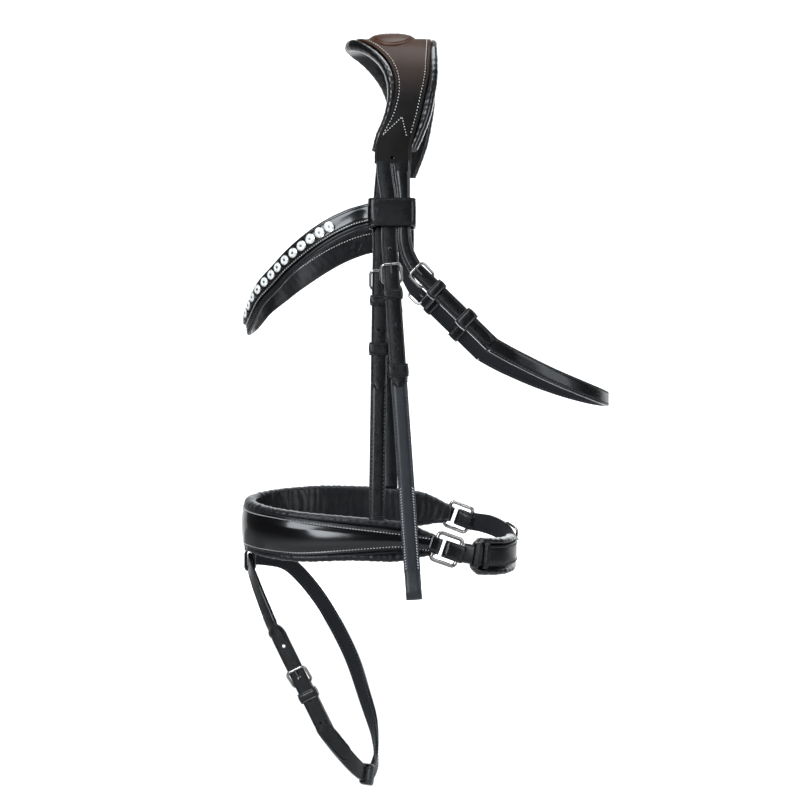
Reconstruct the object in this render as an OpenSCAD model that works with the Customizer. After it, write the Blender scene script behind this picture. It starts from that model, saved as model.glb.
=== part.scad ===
// Snaffle bridle, hung by the poll. Millimetres, +Z up, -X towards the nose,
// -Y the near (left) side. Origin: underside of the headpiece at its middle.

/* [Leather] */
// Width of the cheek and noseband straps
strap_w = 13.5; // [12:0.5:14]
// Thickness of a single strap
strap_t = 2; // [1.6:0.1:2.2]
// Thickness of a folded and stitched strap
fold_t = 3.6; // [3:0.1:3.8]
// Width of the throatlatch straps
throat_w = 13; // [11:0.5:13.5]

/* [Headpiece] */
// Height of the padding under the headpiece leather
crown_pad = 5.4; // [4:0.2:6]
// Thickness of the headpiece leather
crown_t = 2.4; // [2:0.1:3]

/* [Browband] */
// Height of the browband face
brow_h = 14; // [12:0.5:18]
// Number of crystals in each half of the browband
crystals_half = 14; // [8:1:14]
// Diameter of a crystal
crystal_d = 9; // [6:0.5:9.5]

/* [Noseband] */
// How much higher the off side of the noseband hangs, for each mm across
nose_roll = 0.16; // [0:0.01:0.2]
// How much further back the off side of the noseband sits, for each mm across
nose_yaw = 0.14; // [0:0.01:0.2]
// Thickness of the noseband padding
nose_pad = 6; // [4:0.5:8]

/* [Metalwork] */
// Wire diameter of the strap buckles
wire_d = 2.2; // [1.8:0.1:2.4]
// Distance between the two bars of a buckle
buckle_l = 15; // [14:0.5:16]
// Wire diameter of the crank rings
ring_wire = 3.2; // [2.6:0.2:3.6]
// Length of a crank ring, bar to bar
ring_l = 22; // [20:1:24]
// Diameter of the eye that the bit hangs in
bit_eye_d = 10; // [8:0.5:11]

/* [Hidden] */
$fn = 32;

// Colours
black_leather = "#1d1d20";
brown_leather = "#30241f";
patent_leather = "#0d0d10";
lining_leather = "#262629";
silver = "#c9ccd2";
crystal = "#dfe6f2";

gap = 0.5;                       // gap round a strap at its flex line
hinge_z = -183;                  // height of the strap flex lines
strap_y = -71;                   // middle plane of the cheek and throat billets
hanger_y = -58;                  // middle plane of the noseband hangers
cheek_x = -1;                    // flex line of the cheek straps
hanger_x = -8.5;                 // flex line of the noseband hangers
throat_x = 12;                   // flex line of the throatlatch straps
throat_root_w = 11;              // width of the throat billet at its flex line
cheek_slant = 4;
near_hanger_slant = -0.8;
off_hanger_slant = 2;
throat_drop = 22;                // slant of the billet above the buckle
throat_slant = 45.5;             // slant of the strap below the buckle

fold_top = -strap_t / 2 - 0.2;   // outer face of the folded strap, under the billet
fold_back = fold_top - fold_t;
heel_w = fold_top - 2.8;         // depth of the buckle's heel bar
fold_eye_r = 2.8;
bar_w = strap_t / 2 + 0.2 + wire_d / 2;
half_w = strap_w / 2;
prong_r = 0.9;
prong_l = 18;
prong_rise = 30;
keeper_wall = 1.5;

cheek_buckle_u = 18.9;           // from the flex line to the buckle's top bar
hanger_buckle_u = 22.6;
cheek_eye_u = 274;               // from the buckle's top bar to the bit eye
cheek_tip_u = 102.5;
hanger_tip_u = 100;
throat_tip_u = 89;
hole_pitch = 21;

// ---------- vectors, smooth curves and ribbons ----------
function unit(v) = v / norm(v);
function at(r) = [r[0], r[1], r[2]];
function along(p, i) = unit(at(p[min(i + 1, len(p) - 1)]) - at(p[max(i - 1, 0)]));
function outward(t) = unit([t[1], -t[0], 0]);
function curve(p, i, t) =
    let (a = p[max(i - 1, 0)], b = p[i], c = p[i + 1], d = p[min(i + 2, len(p) - 1)])
    0.5 * (2 * b + (c - a) * t + (2 * a - 5 * b + 4 * c - d) * t * t
        + (3 * b - a - 3 * c + d) * t * t * t);
function smooth(p, k) = concat(
    [for (i = [0 : len(p) - 2]) for (j = [0 : k - 1]) curve(p, i, j / k)], [p[len(p) - 1]]);
function part_of(p, a, b) = [for (i = [a : b]) p[i]];
function backwards(p) = [for (i = [len(p) - 1 : -1 : 0]) p[i]];
function mirrored(p) = [for (r = p) [for (k = [0 : len(r) - 1]) k == 1 ? -r[1] : r[k]]];
function high(p, up, down) = [for (r = p) [r[0], r[1], r[2], up, down]];
// A row of a ribbon is [x, y, z, height above, height below]
function ribbon_ring(p, i, inner, outer) =
    let (t = along(p, i), n = outward(t), w = cross(n, t), c = at(p[i]))
    [c + n * outer + w * p[i][3], c + n * outer - w * p[i][4],
     c + n * inner - w * p[i][4], c + n * inner + w * p[i][3]];

module skin(rings) {
    m = len(rings[0]);
    n = len(rings);
    polyhedron(
        points = [for (r = rings) for (q = r) q],
        faces = concat(
            [[for (k = [0 : m - 1]) k]],
            [for (i = [0 : n - 2]) for (k = [0 : m - 1])
                [i * m + k, (i + 1) * m + k, (i + 1) * m + (k + 1) % m, i * m + (k + 1) % m]],
            [[for (k = [m - 1 : -1 : 0]) (n - 1) * m + k]]),
        convexity = 8);
}
module ribbon(p, inner, outer) {
    skin([for (i = [0 : len(p) - 1]) ribbon_ring(p, i, inner, outer)]);
}
// Local axes on a strap: x along it, y across it, z outwards
module on_strap(p, heading, slope) {
    translate(p) rotate([90, 0, heading]) rotate([0, 0, slope]) children();
}
module off_side() { mirror([0, 1, 0]) children(); }

// ---------- strap parts, in the local axes of a strap ----------
module slab(x0, x1, half, z0, z1) {
    translate([x0, -half, z0]) cube([x1 - x0, 2 * half, z1 - z0]);
}
module rod(a, b, r) {
    d = b - a;
    translate(a) rotate([0, acos(d[2] / norm(d)), atan2(d[1], d[0])])
        cylinder(r = r, h = norm(d));
}
module buckle(half) {
    frame_half = half + 0.5 + wire_d / 2;
    end = frame_half + wire_d / 2;
    for (s = [-1, 1])
        rod([0, s * frame_half, bar_w], [buckle_l, s * frame_half, heel_w], wire_d * 0.45);
    for (e = [[0, bar_w], [buckle_l, heel_w]])
        rod([e[0], -end, e[1]], [e[0], end, e[1]], wire_d / 2);
}
module prong() {
    difference() {
        union() {
            rod([buckle_l, -1.5, heel_w], [buckle_l, 1.5, heel_w], 2.1);
            translate([buckle_l, 0, heel_w]) rotate([0, 180 + prong_rise, 0])
                translate([1.6, 0, 0]) rotate([0, 90, 0]) cylinder(r = prong_r, h = prong_l - 1.6);
        }
        rod([buckle_l, -3, heel_w], [buckle_l, 3, heel_w], wire_d / 2 + 0.08);
    }
}
module sleeve(u, length, half, back, front, wall) {
    difference() {
        slab(u, u + length, half + wall, back - wall, front + wall);
        slab(u - 1, u + length + 1, half, back, front);
    }
}
module keeper(half) { sleeve(20.5, 8.5, half + 0.1, fold_back - 0.1, strap_t / 2 + 0.1, keeper_wall); }
module runner(u, half) {
    sleeve(u - 5.5, 11, half + 0.4, fold_back - 0.35, strap_t / 2 + 0.35, keeper_wall);
}
// Folded end of a strap, round the heel bar of its buckle, and on to x = length
module folded_strap(length, half) {
    difference() {
        union() {
            rod([buckle_l, -half, heel_w], [buckle_l, half, heel_w], fold_eye_r);
            slab(buckle_l, length, half, fold_back, fold_top);
        }
        rod([buckle_l, -half - 1, heel_w], [buckle_l, half + 1, heel_w], wire_d / 2 + 0.05);
        slab(buckle_l - 4, buckle_l + 4, 1.9, heel_w - 4, fold_top + 1);
    }
}
module prong_slot() { slab(4.2, 13, 1.2, -strap_t, strap_t); }
module holes(first, last) {
    for (u = [first : hole_pitch : last])
        translate([u, 0, -strap_t]) cylinder(d = 3.2, h = 2 * strap_t);
}
// Billet from its flex line at x = start to its pointed tip
module billet(start, tip, half) {
    difference() {
        translate([0, 0, -strap_t / 2]) linear_extrude(strap_t) union() {
            polygon([[start, -half], [tip - 8, -half], [tip, -1.5], [tip, 1.5],
                [tip - 8, half], [start, half]]);
            translate([start, 0]) circle(r = half);
        }
        prong_slot();
        holes(8 + hole_pitch, tip - 12);
    }
}

// ---------- headpiece ----------
// Rows: [across, height, front edge, rear edge] of the leather's underside
head_side = [[0, 8, -38, 37], [-14, 5.5, -33, 37], [-26, -4, -20, 36.5], [-36, -19, -7, 35.5],
    [-43, -35, -0.5, 34], [-48.5, -52, 1, 30.5], [-53, -71, -2.5, 26],
    [-56.5, -88, -9, 20.5], [-59, -101, -12, 16.5], [-61.5, -115, -12.5, 16.5]];
// Middle of the noseband sliphead under each row
sliphead_x = [0, 1, 4, 8, 10, 10, 7, 2, -2, -5];
function both(p, k) = let (s = smooth(p, k), n = len(s))
    concat([for (i = [n - 1 : -1 : 1]) [-s[i][0], s[i][1], s[i][2], s[i][3]]], s);
function head_ring(p, i, inner, outer, front, rear) =
    let (a = p[max(i - 1, 0)], b = p[min(i + 1, len(p) - 1)],
        t = unit([b[0] - a[0], b[1] - a[1]]), ny = t[1], nz = -t[0], y = p[i][0], z = p[i][1])
    [[p[i][3] + rear, y + ny * outer, z + nz * outer], [p[i][2] + front, y + ny * outer, z + nz * outer],
     [p[i][2] + front, y + ny * inner, z + nz * inner], [p[i][3] + rear, y + ny * inner, z + nz * inner]];
module head_band(p, inner, outer, front, rear) {
    skin([for (i = [0 : len(p) - 1]) head_ring(p, i, inner, outer, front, rear)]);
}
head_path = both(head_side, 3);
pad_path = both(part_of(head_side, 0, 8), 3);
sliphead_path = both([for (i = [0 : 9]) [head_side[i][0], head_side[i][1],
    sliphead_x[i] - half_w, sliphead_x[i] + half_w]], 3);

billet_lean = atan((-61.5 - strap_y) / (-115 - hinge_z));
billet_run = (-115 - hinge_z) / cos(billet_lean);
// Two billets cut from the headpiece, down to their flex lines
module head_billets() {
    difference() {
        translate([0, -61.5 - crown_t / 2, -115]) rotate([-billet_lean, 0, 0])
            rotate([90, 0, 0]) translate([0, 0, -strap_t / 2]) linear_extrude(strap_t) {
                polygon([[-12.5, 2], [-12.5, 0], [cheek_x - half_w, -30], [cheek_x - half_w, -billet_run],
                    [cheek_x + half_w, -billet_run], [cheek_x + half_w, -32], [1, 0], [1, 2]]);
                polygon([[2, 2], [2, 0], [throat_x - throat_root_w / 2, -34],
                    [throat_x - throat_root_w / 2, -billet_run], [throat_x + throat_root_w / 2, -billet_run],
                    [throat_x + throat_root_w / 2, -34], [16.5, 0], [16.5, 2]]);
            }
        for (c = [[cheek_x, half_w], [throat_x, throat_root_w / 2]]) {
            translate([c[0], strap_y - 6, hinge_z]) rotate([-90, 0, 0])
                cylinder(r = c[1] + gap, h = 12);
            translate([c[0] - c[1] - 0.5, strap_y - 6, hinge_z - 8])
                cube([2 * c[1] + 1, 12, 8 + c[1] / 2]);
        }
    }
}
module crown_leather() {
    color(brown_leather) {
        difference() {
            head_band(head_path, 0, crown_t, 0, 0);
            translate([1, 0, 0]) cylinder(d = 34, h = 20);
        }
        head_billets();
        off_side() head_billets();
    }
}
module crown_padding() {
    color(black_leather)
        head_band(pad_path, -strap_t - 0.6 - crown_pad, -strap_t - 0.6, -4, 5);
}
module poll_cushion() {
    color(black_leather) {
        translate([1, 0, 8 + 0.2]) cylinder(d = 33, h = 3);
        translate([1, 0, 8 + 3.2]) intersection() {
            cylinder(d = 42, h = 6);
            translate([0, 0, -60]) sphere(r = 66, $fn = 64);
        }
    }
}
module sliphead_end() {
    // from under the headpiece down to the hanger's flex line
    end_side = smooth([[-5, -60.2, -115], [-7.2, -58.6, -135], [hanger_x, hanger_y, -155],
        [hanger_x, hanger_y, hinge_z]], 3);
    difference() {
        skin([for (i = [0 : len(end_side) - 1]) let (c = end_side[i])
            [[c[0] + half_w, c[1] - strap_t / 2, c[2]], [c[0] - half_w, c[1] - strap_t / 2, c[2]],
             [c[0] - half_w, c[1] + strap_t / 2, c[2]], [c[0] + half_w, c[1] + strap_t / 2, c[2]]]]);
        translate([hanger_x, hanger_y - 6, hinge_z]) rotate([-90, 0, 0])
            cylinder(r = half_w + gap, h = 12);
        translate([hanger_x - half_w - 1, hanger_y - 6, hinge_z - 8])
            cube([strap_w + 2, 12, 8 + half_w / 2]);
    }
}
module noseband_sliphead() {
    color(black_leather) {
        head_band(sliphead_path, -strap_t - 0.3, -0.3, 0, 0);
        sliphead_end();
        off_side() sliphead_end();
    }
}

// ---------- browband ----------
// Middle line of the near half, from the forehead back to the loop
brow_half = [[-128, 0, -243], [-126, -11, -238.5], [-115.5, -28, -221], [-100, -40, -206],
    [-86, -50, -193.5], [-68.3, -58, -180.2], [-51, -63, -169.7], [-34, -66, -162.2],
    [-21.5, -67, -158.6]];
function around(p) = concat(backwards(mirrored(part_of(p, 1, len(p) - 1))), p);
brow_path = smooth(around(brow_half), 3);
brow_lining_t = 2.4;
loop_front = -17;
loop_rear = 19.5;
loop_inner_y = -55.5;
loop_outer_y = -72.6;
loop_top = -146;
loop_bottom = -169.5;

function reach(p, s, i = 0) =
    let (d = norm(at(p[i + 1]) - at(p[i])))
    s <= d || i + 2 >= len(p) ? [i, s / d] : reach(p, s - d, i + 1);
function spot(p, f) = let (a = p[f[0]], b = p[f[0] + 1]) at(a) + (at(b) - at(a)) * f[1];

module browband_leather() {
    color(patent_leather) ribbon(high(brow_path, brow_h / 2, brow_h / 2), 0, 2.2);
}
module browband_lining() {
    lining_drop = 5;             // how far the lower roll shows below the face
    n = len(brow_path);
    color(lining_leather) ribbon(high(part_of(brow_path, 1, n - 2), brow_h / 2, brow_h / 2 + lining_drop),
        -brow_lining_t - 0.4, -0.4);
}
// One row of set crystals, from the middle of the forehead towards each side
module crystal_row() {
    pitch = crystal_d + 0.6;
    half_path = smooth(brow_half, 6);
    for (k = [0 : crystals_half - 1]) {
        f = reach(half_path, pitch * (k + 0.5));
        p = spot(half_path, f);
        n = outward(along(half_path, f[0]));
        translate(p + n * 2.2) rotate([0, 90, atan2(n[1], n[0])])
            cylinder(d1 = crystal_d, d2 = crystal_d * 0.7, h = 3);
    }
}
module browband_crystals() {
    color(crystal) {
        crystal_row();
        off_side() crystal_row();
    }
}
module browband_loop() {
    wall = 2;
    h = loop_top - loop_bottom;
    color(patent_leather) difference() {
        translate([loop_front - wall, loop_outer_y - wall, loop_bottom])
            cube([loop_rear - loop_front + 2 * wall, loop_inner_y - loop_outer_y + 2 * wall, h]);
        translate([loop_front, loop_outer_y, loop_bottom - 1])
            cube([loop_rear - loop_front, loop_inner_y - loop_outer_y, h + 2]);
    }
}
module near_browband_loop() { browband_loop(); }
module off_browband_loop() { off_side() browband_loop(); }

// ---------- cheekpieces ----------
function down(p, slant, u) = [p[0] + u * sin(slant), p[1], p[2] - u * cos(slant)];
cheek_buckle = down([cheek_x, strap_y, hinge_z], cheek_slant, cheek_buckle_u);
module on_cheek() { on_strap(cheek_buckle, 0, cheek_slant - 90) children(); }
bit_eye_w = (fold_top + fold_back) / 2;
bit_eye_r = bit_eye_d / 2 + 3;
stud_u = cheek_eye_u - 45;
module cheek_billet() {
    color(black_leather) on_cheek() billet(-cheek_buckle_u, cheek_tip_u, half_w);
}
module cheekpiece() {
    color(black_leather) on_cheek() difference() {
        union() {
            folded_strap(cheek_eye_u, half_w);
            rod([cheek_eye_u, -half_w, bit_eye_w], [cheek_eye_u, half_w, bit_eye_w], bit_eye_r);
        }
        rod([cheek_eye_u, -half_w - 1, bit_eye_w], [cheek_eye_u, half_w + 1, bit_eye_w], bit_eye_d / 2);
    }
}
module cheek_buckle_frame() { color(silver) on_cheek() buckle(half_w); }
module cheek_prong() { color(silver) on_cheek() prong(); }
module cheek_keeper() { color(black_leather) on_cheek() keeper(half_w); }
module cheek_runner() { color(black_leather) on_cheek() runner(89, half_w); }
module hook_stud() {
    color(silver) on_cheek() {
        translate([stud_u, 0, fold_back - 1.2]) cylinder(d = 4, h = 1.2);
        translate([stud_u, 0, fold_back - 2.2]) cylinder(d = 7, h = 1);
    }
}
module near_cheek_billet() { cheek_billet(); }
module near_cheekpiece() { cheekpiece(); }
module near_cheek_buckle() { cheek_buckle_frame(); }
module near_cheek_prong() { cheek_prong(); }
module near_cheek_keeper() { cheek_keeper(); }
module near_cheek_runner() { cheek_runner(); }
module near_hook_stud() { hook_stud(); }
module off_cheek_billet() { off_side() cheek_billet(); }
module off_cheekpiece() { off_side() cheekpiece(); }
module off_cheek_buckle() { off_side() cheek_buckle_frame(); }
module off_cheek_prong() { off_side() cheek_prong(); }
module off_cheek_keeper() { off_side() cheek_keeper(); }
module off_cheek_runner() { off_side() cheek_runner(); }
module off_hook_stud() { off_side() hook_stud(); }

// ---------- noseband ----------
nose_z = -423;
// Rows: [along, across, drop, face up, face down, padding up, padding down], near half
nose_half = [[-129, 0, 0, 16.5, 16.5, 23, 21.5], [-127, -12, 0, 16.5, 16, 22.5, 21.5],
    [-118.5, -25, 0, 16, 16, 22.5, 22], [-101, -39.5, 0, 16, 15.5, 22, 22],
    [-69.4, -53.5, 0, 14.5, 14.5, 21, 21.5], [-25.6, -59.3, 0, 10.5, 10.5, 18.5, 19],
    [12, -59.3, 1, 7, 7, 16, 19], [28, -58.5, 3, 6.5, 6.5, 13, 15], [40, -57.2, 5, 6.5, 6.5, 5, 6]];
function hung(p, up, down) = [for (r = p)
    [r[0] + nose_yaw * r[1], r[1], nose_z - r[2] + nose_roll * r[1], r[up], r[down]]];
nose_path = smooth(around(nose_half), 3);
ring_heading = 12;
ring_slope = -20;
ring_half_h = 11;
function ring_seat(side) = [45.5 + nose_yaw * side * 56.5, side * 56.5, nose_z - 6 + nose_roll * side * 56.5];
// Local axes at the front bar of a crank ring: x rearwards, y up, z outwards
module at_ring(side) {
    p = ring_seat(side);
    if (side < 0) on_strap(p, ring_heading, ring_slope) children();
    else off_side() on_strap([p[0], -p[1], p[2]], ring_heading, ring_slope) children();
}
module noseband_face() {
    color(patent_leather) {
        ribbon(hung(nose_path, 3, 4), 0, 2.6);
        for (side = [-1, 1]) at_ring(side) difference() {
            slab(-7, 4.6, 7, -3.9, 3.9);
            slab(-2.8, 2.8, 8, -2.2, 2.2);
        }
    }
}
module noseband_padding() {
    n = len(nose_path);
    color(lining_leather)
        ribbon(part_of(hung(nose_path, 5, 6), 2, n - 3), -3.3 - nose_pad, -3.3);
}
module on_hanger(slant) {
    on_strap(down([hanger_x, hanger_y, hinge_z], slant, hanger_buckle_u), 0, slant - 90) children();
}
module hanger(slant, length) {
    on_hanger(slant) {
        folded_strap(length - 30, half_w);
        slab(length - 30, length, half_w, -1, 1);
        slab(length - 32, length - 26, half_w, fold_back, 1);
    }
}
near_hanger_l = 226;
off_hanger_l = 202;
module near_hanger() { color(black_leather) hanger(near_hanger_slant, near_hanger_l); }
module off_hanger() { color(black_leather) off_side() hanger(off_hanger_slant, off_hanger_l); }
module hanger_billet(slant) {
    color(black_leather) on_hanger(slant) billet(-hanger_buckle_u, hanger_tip_u, half_w);
}
module near_hanger_billet() { hanger_billet(near_hanger_slant); }
module off_hanger_billet() { off_side() hanger_billet(off_hanger_slant); }
module near_hanger_buckle() { color(silver) on_hanger(near_hanger_slant) buckle(half_w); }
module off_hanger_buckle() { color(silver) off_side() on_hanger(off_hanger_slant) buckle(half_w); }
module near_hanger_prong() { color(silver) on_hanger(near_hanger_slant) prong(); }
module off_hanger_prong() { color(silver) off_side() on_hanger(off_hanger_slant) prong(); }
module hanger_keepers() {
    color(black_leather) {
        on_hanger(near_hanger_slant) keeper(half_w);
        off_side() on_hanger(off_hanger_slant) keeper(half_w);
    }
}
module near_hanger_runner() { color(black_leather) on_hanger(near_hanger_slant) runner(66, half_w); }
module off_hanger_runner() {
    color(black_leather) off_side() on_hanger(off_hanger_slant) runner(66, half_w);
}
flash_seat = [-126.3, 0, -457.5];
module flash_loop() {
    wall = 1.8;
    deep = 4.6;                  // half depth and half height of the space for the strap
    tall = 9.4;
    half_l = 5;
    color(black_leather) {
        difference() {
            translate(flash_seat - [deep + wall, half_l, tall + wall])
                cube([2 * (deep + wall), 2 * half_l, 2 * (tall + wall)]);
            translate(flash_seat - [deep, half_l + 1, tall]) cube([2 * deep, 2 * half_l + 2, 2 * tall]);
        }
        translate(flash_seat + [-5.2, -half_l, tall + wall]) cube([2.2, 2 * half_l, 4.6]);
    }
}

// ---------- crank rings and chin strap ----------
module crank_ring(side) {
    r = ring_wire / 2;
    color(silver) at_ring(side) {
        for (x = [0, ring_l]) rod([x, -ring_half_h - r, 0], [x, ring_half_h + r, 0], r);
        for (y = [-ring_half_h, ring_half_h]) rod([0, y, 0], [ring_l, y, 0], 0.9 * r);
    }
}
module near_crank_ring() { crank_ring(-1); }
module off_crank_ring() { crank_ring(1); }
chin_half = 9;
chin_end_half = 7.2;             // where the strap turns round the bars of the rings
chin_t = 3;
chin_points = [[60.5, -51.5, -444.8], [76, -45.5, -448], [95, -32, -450], [107, -15, -450], [111.5, 2, -448],
    [109.5, 18, -441.5], [103.5, 31, -435], [92, 42, -430], [76, 51, -427.5]];
chin_line = smooth(chin_points, 4);
chin_path = [for (i = [0 : len(chin_line) - 1])
    let (r = chin_line[i], h = i < 4 || i > len(chin_line) - 5 ? chin_end_half : chin_half) [r[0], r[1], r[2], h, h]];
chin_buckle_i = 20;
module at_chin_buckle() {
    t = along(chin_path, chin_buckle_i);
    p = at(chin_path[chin_buckle_i]) + outward(t) * (chin_t / 2 - fold_top);
    on_strap(p, atan2(t[1], t[0]), asin(t[2])) children();
}
module chin_strap() {
    color(black_leather) {
        difference() {
            union() {
                ribbon(chin_path, -chin_t / 2, chin_t / 2);
                at_chin_buckle() rod([buckle_l, -chin_half, heel_w], [buckle_l, chin_half, heel_w], fold_eye_r);
            }
            at_chin_buckle() {
                rod([buckle_l, -chin_half - 1, heel_w], [buckle_l, chin_half + 1, heel_w], wire_d / 2 + 0.05);
                slab(buckle_l - 15, buckle_l + 4, 2.2, heel_w - 4, fold_top + 1.5);
            }
            for (side = [-1, 1]) at_ring(side)
                rod([ring_l, -chin_half, 0], [ring_l, chin_half, 0], ring_wire / 2 + 0.05);
        }
        for (side = [-1, 1]) at_ring(side) difference() {
            rod([ring_l, -8, 0], [ring_l, 8, 0], 3.9);
            rod([ring_l, -9, 0], [ring_l, 9, 0], ring_wire / 2 + 0.05);
        }
    }
}
module chin_pad() {
    color(lining_leather) ribbon(high(part_of(chin_path, 2, 18), 14, 17), -9, -3.6);
}
module chin_buckle() { color(silver) at_chin_buckle() buckle(chin_half); }
module chin_prong() { color(silver) at_chin_buckle() prong(); }
module chin_keepers() {
    keeper_l = 5;
    keeper_rows = [3, 5];        // rows of the strap that they sit on
    color(black_leather) for (i = keeper_rows) {
        t = along(chin_path, i);
        on_strap(at(chin_path[i]), atan2(t[1], t[0]), asin(t[2]))
            sleeve(-keeper_l / 2, keeper_l, chin_half + 0.2, -chin_t / 2 - 0.3, chin_t / 2 + 0.5, 1.4);
    }
}

// ---------- flash strap ----------
flash_top = [-98, -42, -512];
flash_low = [-54, -44, -600];
flash_along = unit(flash_low - flash_top);
flash_points = [[-126.3, 0, -457.5], [-125.8, -7, -459.5], [-120, -18, -470], [-109.5, -31, -490],
    flash_top, flash_top * 0.75 + flash_low * 0.25, (flash_top + flash_low) / 2,
    flash_top * 0.25 + flash_low * 0.75, flash_low, [-42, -36, -618], [-30, -22, -636],
    [-22, -6, -647], [-18, 8, -650], [-14, 24, -641], [-16.5, 38, -618], [-26, 47, -588],
    [-38, 51.5, -554], [-57, 51.5, -517], [-76, 47, -488], [-96, 37, -466], [-115, 21, -458.5],
    [-124.5, 8, -457], [-126.3, 0, -457.5]];
flash_path = high(smooth(flash_points, 2), half_w, half_w);
flash_path_top = 8;              // rows of the path at flash_top and flash_low
flash_path_low = 16;
flash_buckle_u = 37;
flash_straight = norm(flash_low - flash_top);
flash_fold = 1.8;
module on_flash() {
    n = outward(flash_along);
    on_strap(flash_top + flash_along * flash_buckle_u + n * (flash_fold - fold_top),
        atan2(flash_along[1], flash_along[0]), asin(flash_along[2])) children();
}
module flash_strap() {
    n = len(flash_path);
    color(black_leather) {
        on_flash() folded_strap(flash_straight - flash_buckle_u + 1, half_w);
        ribbon(part_of(flash_path, flash_path_low, n - 1), -flash_fold, flash_fold);
    }
}
module flash_billet() {
    first = flash_path_top;
    last = flash_path_low;
    tip = [for (i = [last : last + 8]) let (r = flash_path[i], h = i < last + 8 ? half_w : 2)
        [r[0], r[1], r[2], h, h]];
    color(black_leather) {
        ribbon([for (i = [0 : first]) let (r = flash_path[i],
            q = at(r) + outward(along(flash_path, i)) * (3 * i / first)) [q[0], q[1], q[2], half_w, half_w]], -1, 1);
        on_flash() difference() {
            slab(-flash_buckle_u - 0.5, flash_straight - flash_buckle_u + 0.5, half_w, -1, 1);
            prong_slot();
            for (u = [-22, 29, 50]) translate([u, 0, -strap_t]) cylinder(d = 3.2, h = 2 * strap_t);
        }
        ribbon(tip, 2, 4);
    }
}
module flash_buckle() { color(silver) on_flash() buckle(half_w); }
module flash_prong() { color(silver) on_flash() prong(); }
module flash_keepers() {
    i = 22;
    t = along(flash_path, i);
    color(black_leather) {
        on_flash() keeper(half_w);
        on_strap(at(flash_path[i]), atan2(t[1], t[0]), asin(t[2]))
            sleeve(-5, 10, half_w + 0.5, -2.4, 4.7, keeper_wall);
    }
}

// ---------- throatlatch ----------
throat_half = throat_w / 2;
throat_flex = [throat_x, strap_y, hinge_z];
throat_upper = 24;
throat_buckle = down(throat_flex, throat_drop, throat_upper);
throat_straight = 92;
module on_throat() { on_strap(throat_buckle, 0, throat_slant - 90) children(); }
module throat_billet() {
    color(black_leather) on_throat() difference() {
        translate([0, 0, -strap_t / 2]) linear_extrude(strap_t) {
            polygon([[0, -6], [throat_tip_u - 8, -6], [throat_tip_u, -1.5], [throat_tip_u, 1.5],
                [throat_tip_u - 8, 6], [0, 6]]);
            circle(r = 6);
            rotate(180 - (throat_slant - throat_drop)) {
                translate([0, -throat_root_w / 2]) square([throat_upper, throat_root_w]);
                translate([throat_upper, 0]) circle(d = throat_root_w);
            }
        }
        prong_slot();
        holes(8 + hole_pitch, throat_tip_u - 12);
    }
}
throat_tail = [for (u = [throat_straight - 6, throat_straight])
    down(throat_buckle + [0, (strap_y < 0 ? -1 : 1) * bit_eye_w, 0], throat_slant, u)];
throat_half_path = concat(throat_tail, [[97.5, -67.6, -275.6], [109, -66, -281.5],
    [135, -58.5, -293.5], [161, -46, -303.5], [181, -28, -310], [191.5, -10, -312.7], [193.5, 0, -313]]);
module throatlatch() {
    near = part_of(throat_half_path, 1, len(throat_half_path) - 1);
    path = smooth(concat(near, backwards(mirrored(part_of(near, 0, len(near) - 2)))), 3);
    color(black_leather) {
        ribbon(high(path, throat_half, throat_half), -fold_t / 2, fold_t / 2);
        on_throat() folded_strap(throat_straight, throat_half);
        off_side() on_throat() folded_strap(throat_straight, throat_half);
    }
}
module near_throat_billet() { throat_billet(); }
module off_throat_billet() { off_side() throat_billet(); }
module near_throat_buckle() { color(silver) on_throat() buckle(throat_half); }
module off_throat_buckle() { off_side() near_throat_buckle(); }
module near_throat_prong() { color(silver) on_throat() prong(); }
module off_throat_prong() { off_side() near_throat_prong(); }
module throat_keepers() {
    color(black_leather) {
        on_throat() keeper(throat_half);
        off_side() on_throat() keeper(throat_half);
    }
}
module near_throat_runner() { color(black_leather) on_throat() runner(60, throat_half); }
module off_throat_runner() { off_side() near_throat_runner(); }

crown_leather();
crown_padding();
poll_cushion();
noseband_sliphead();
browband_leather();
browband_lining();
browband_crystals();
near_browband_loop();
off_browband_loop();
near_cheek_billet();
near_cheekpiece();
near_cheek_buckle();
near_cheek_prong();
near_cheek_keeper();
near_cheek_runner();
near_hook_stud();
off_cheek_billet();
off_cheekpiece();
off_cheek_buckle();
off_cheek_prong();
off_cheek_keeper();
off_cheek_runner();
off_hook_stud();
noseband_face();
noseband_padding();
near_hanger();
off_hanger();
near_hanger_billet();
off_hanger_billet();
near_hanger_buckle();
off_hanger_buckle();
near_hanger_prong();
off_hanger_prong();
hanger_keepers();
near_hanger_runner();
off_hanger_runner();
flash_loop();
near_crank_ring();
off_crank_ring();
chin_strap();
chin_pad();
chin_buckle();
chin_prong();
chin_keepers();
flash_strap();
flash_billet();
flash_buckle();
flash_prong();
flash_keepers();
throatlatch();
near_throat_billet();
off_throat_billet();
near_throat_buckle();
off_throat_buckle();
near_throat_prong();
off_throat_prong();
throat_keepers();
near_throat_runner();
off_throat_runner();
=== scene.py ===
"""Snaffle bridle: the finished look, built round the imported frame."""

import logging
import math
from dataclasses import dataclass, field, replace
from enum import Enum
from typing import Callable, Iterable, Sequence

import bpy
from mathutils import Matrix, Vector


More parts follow.
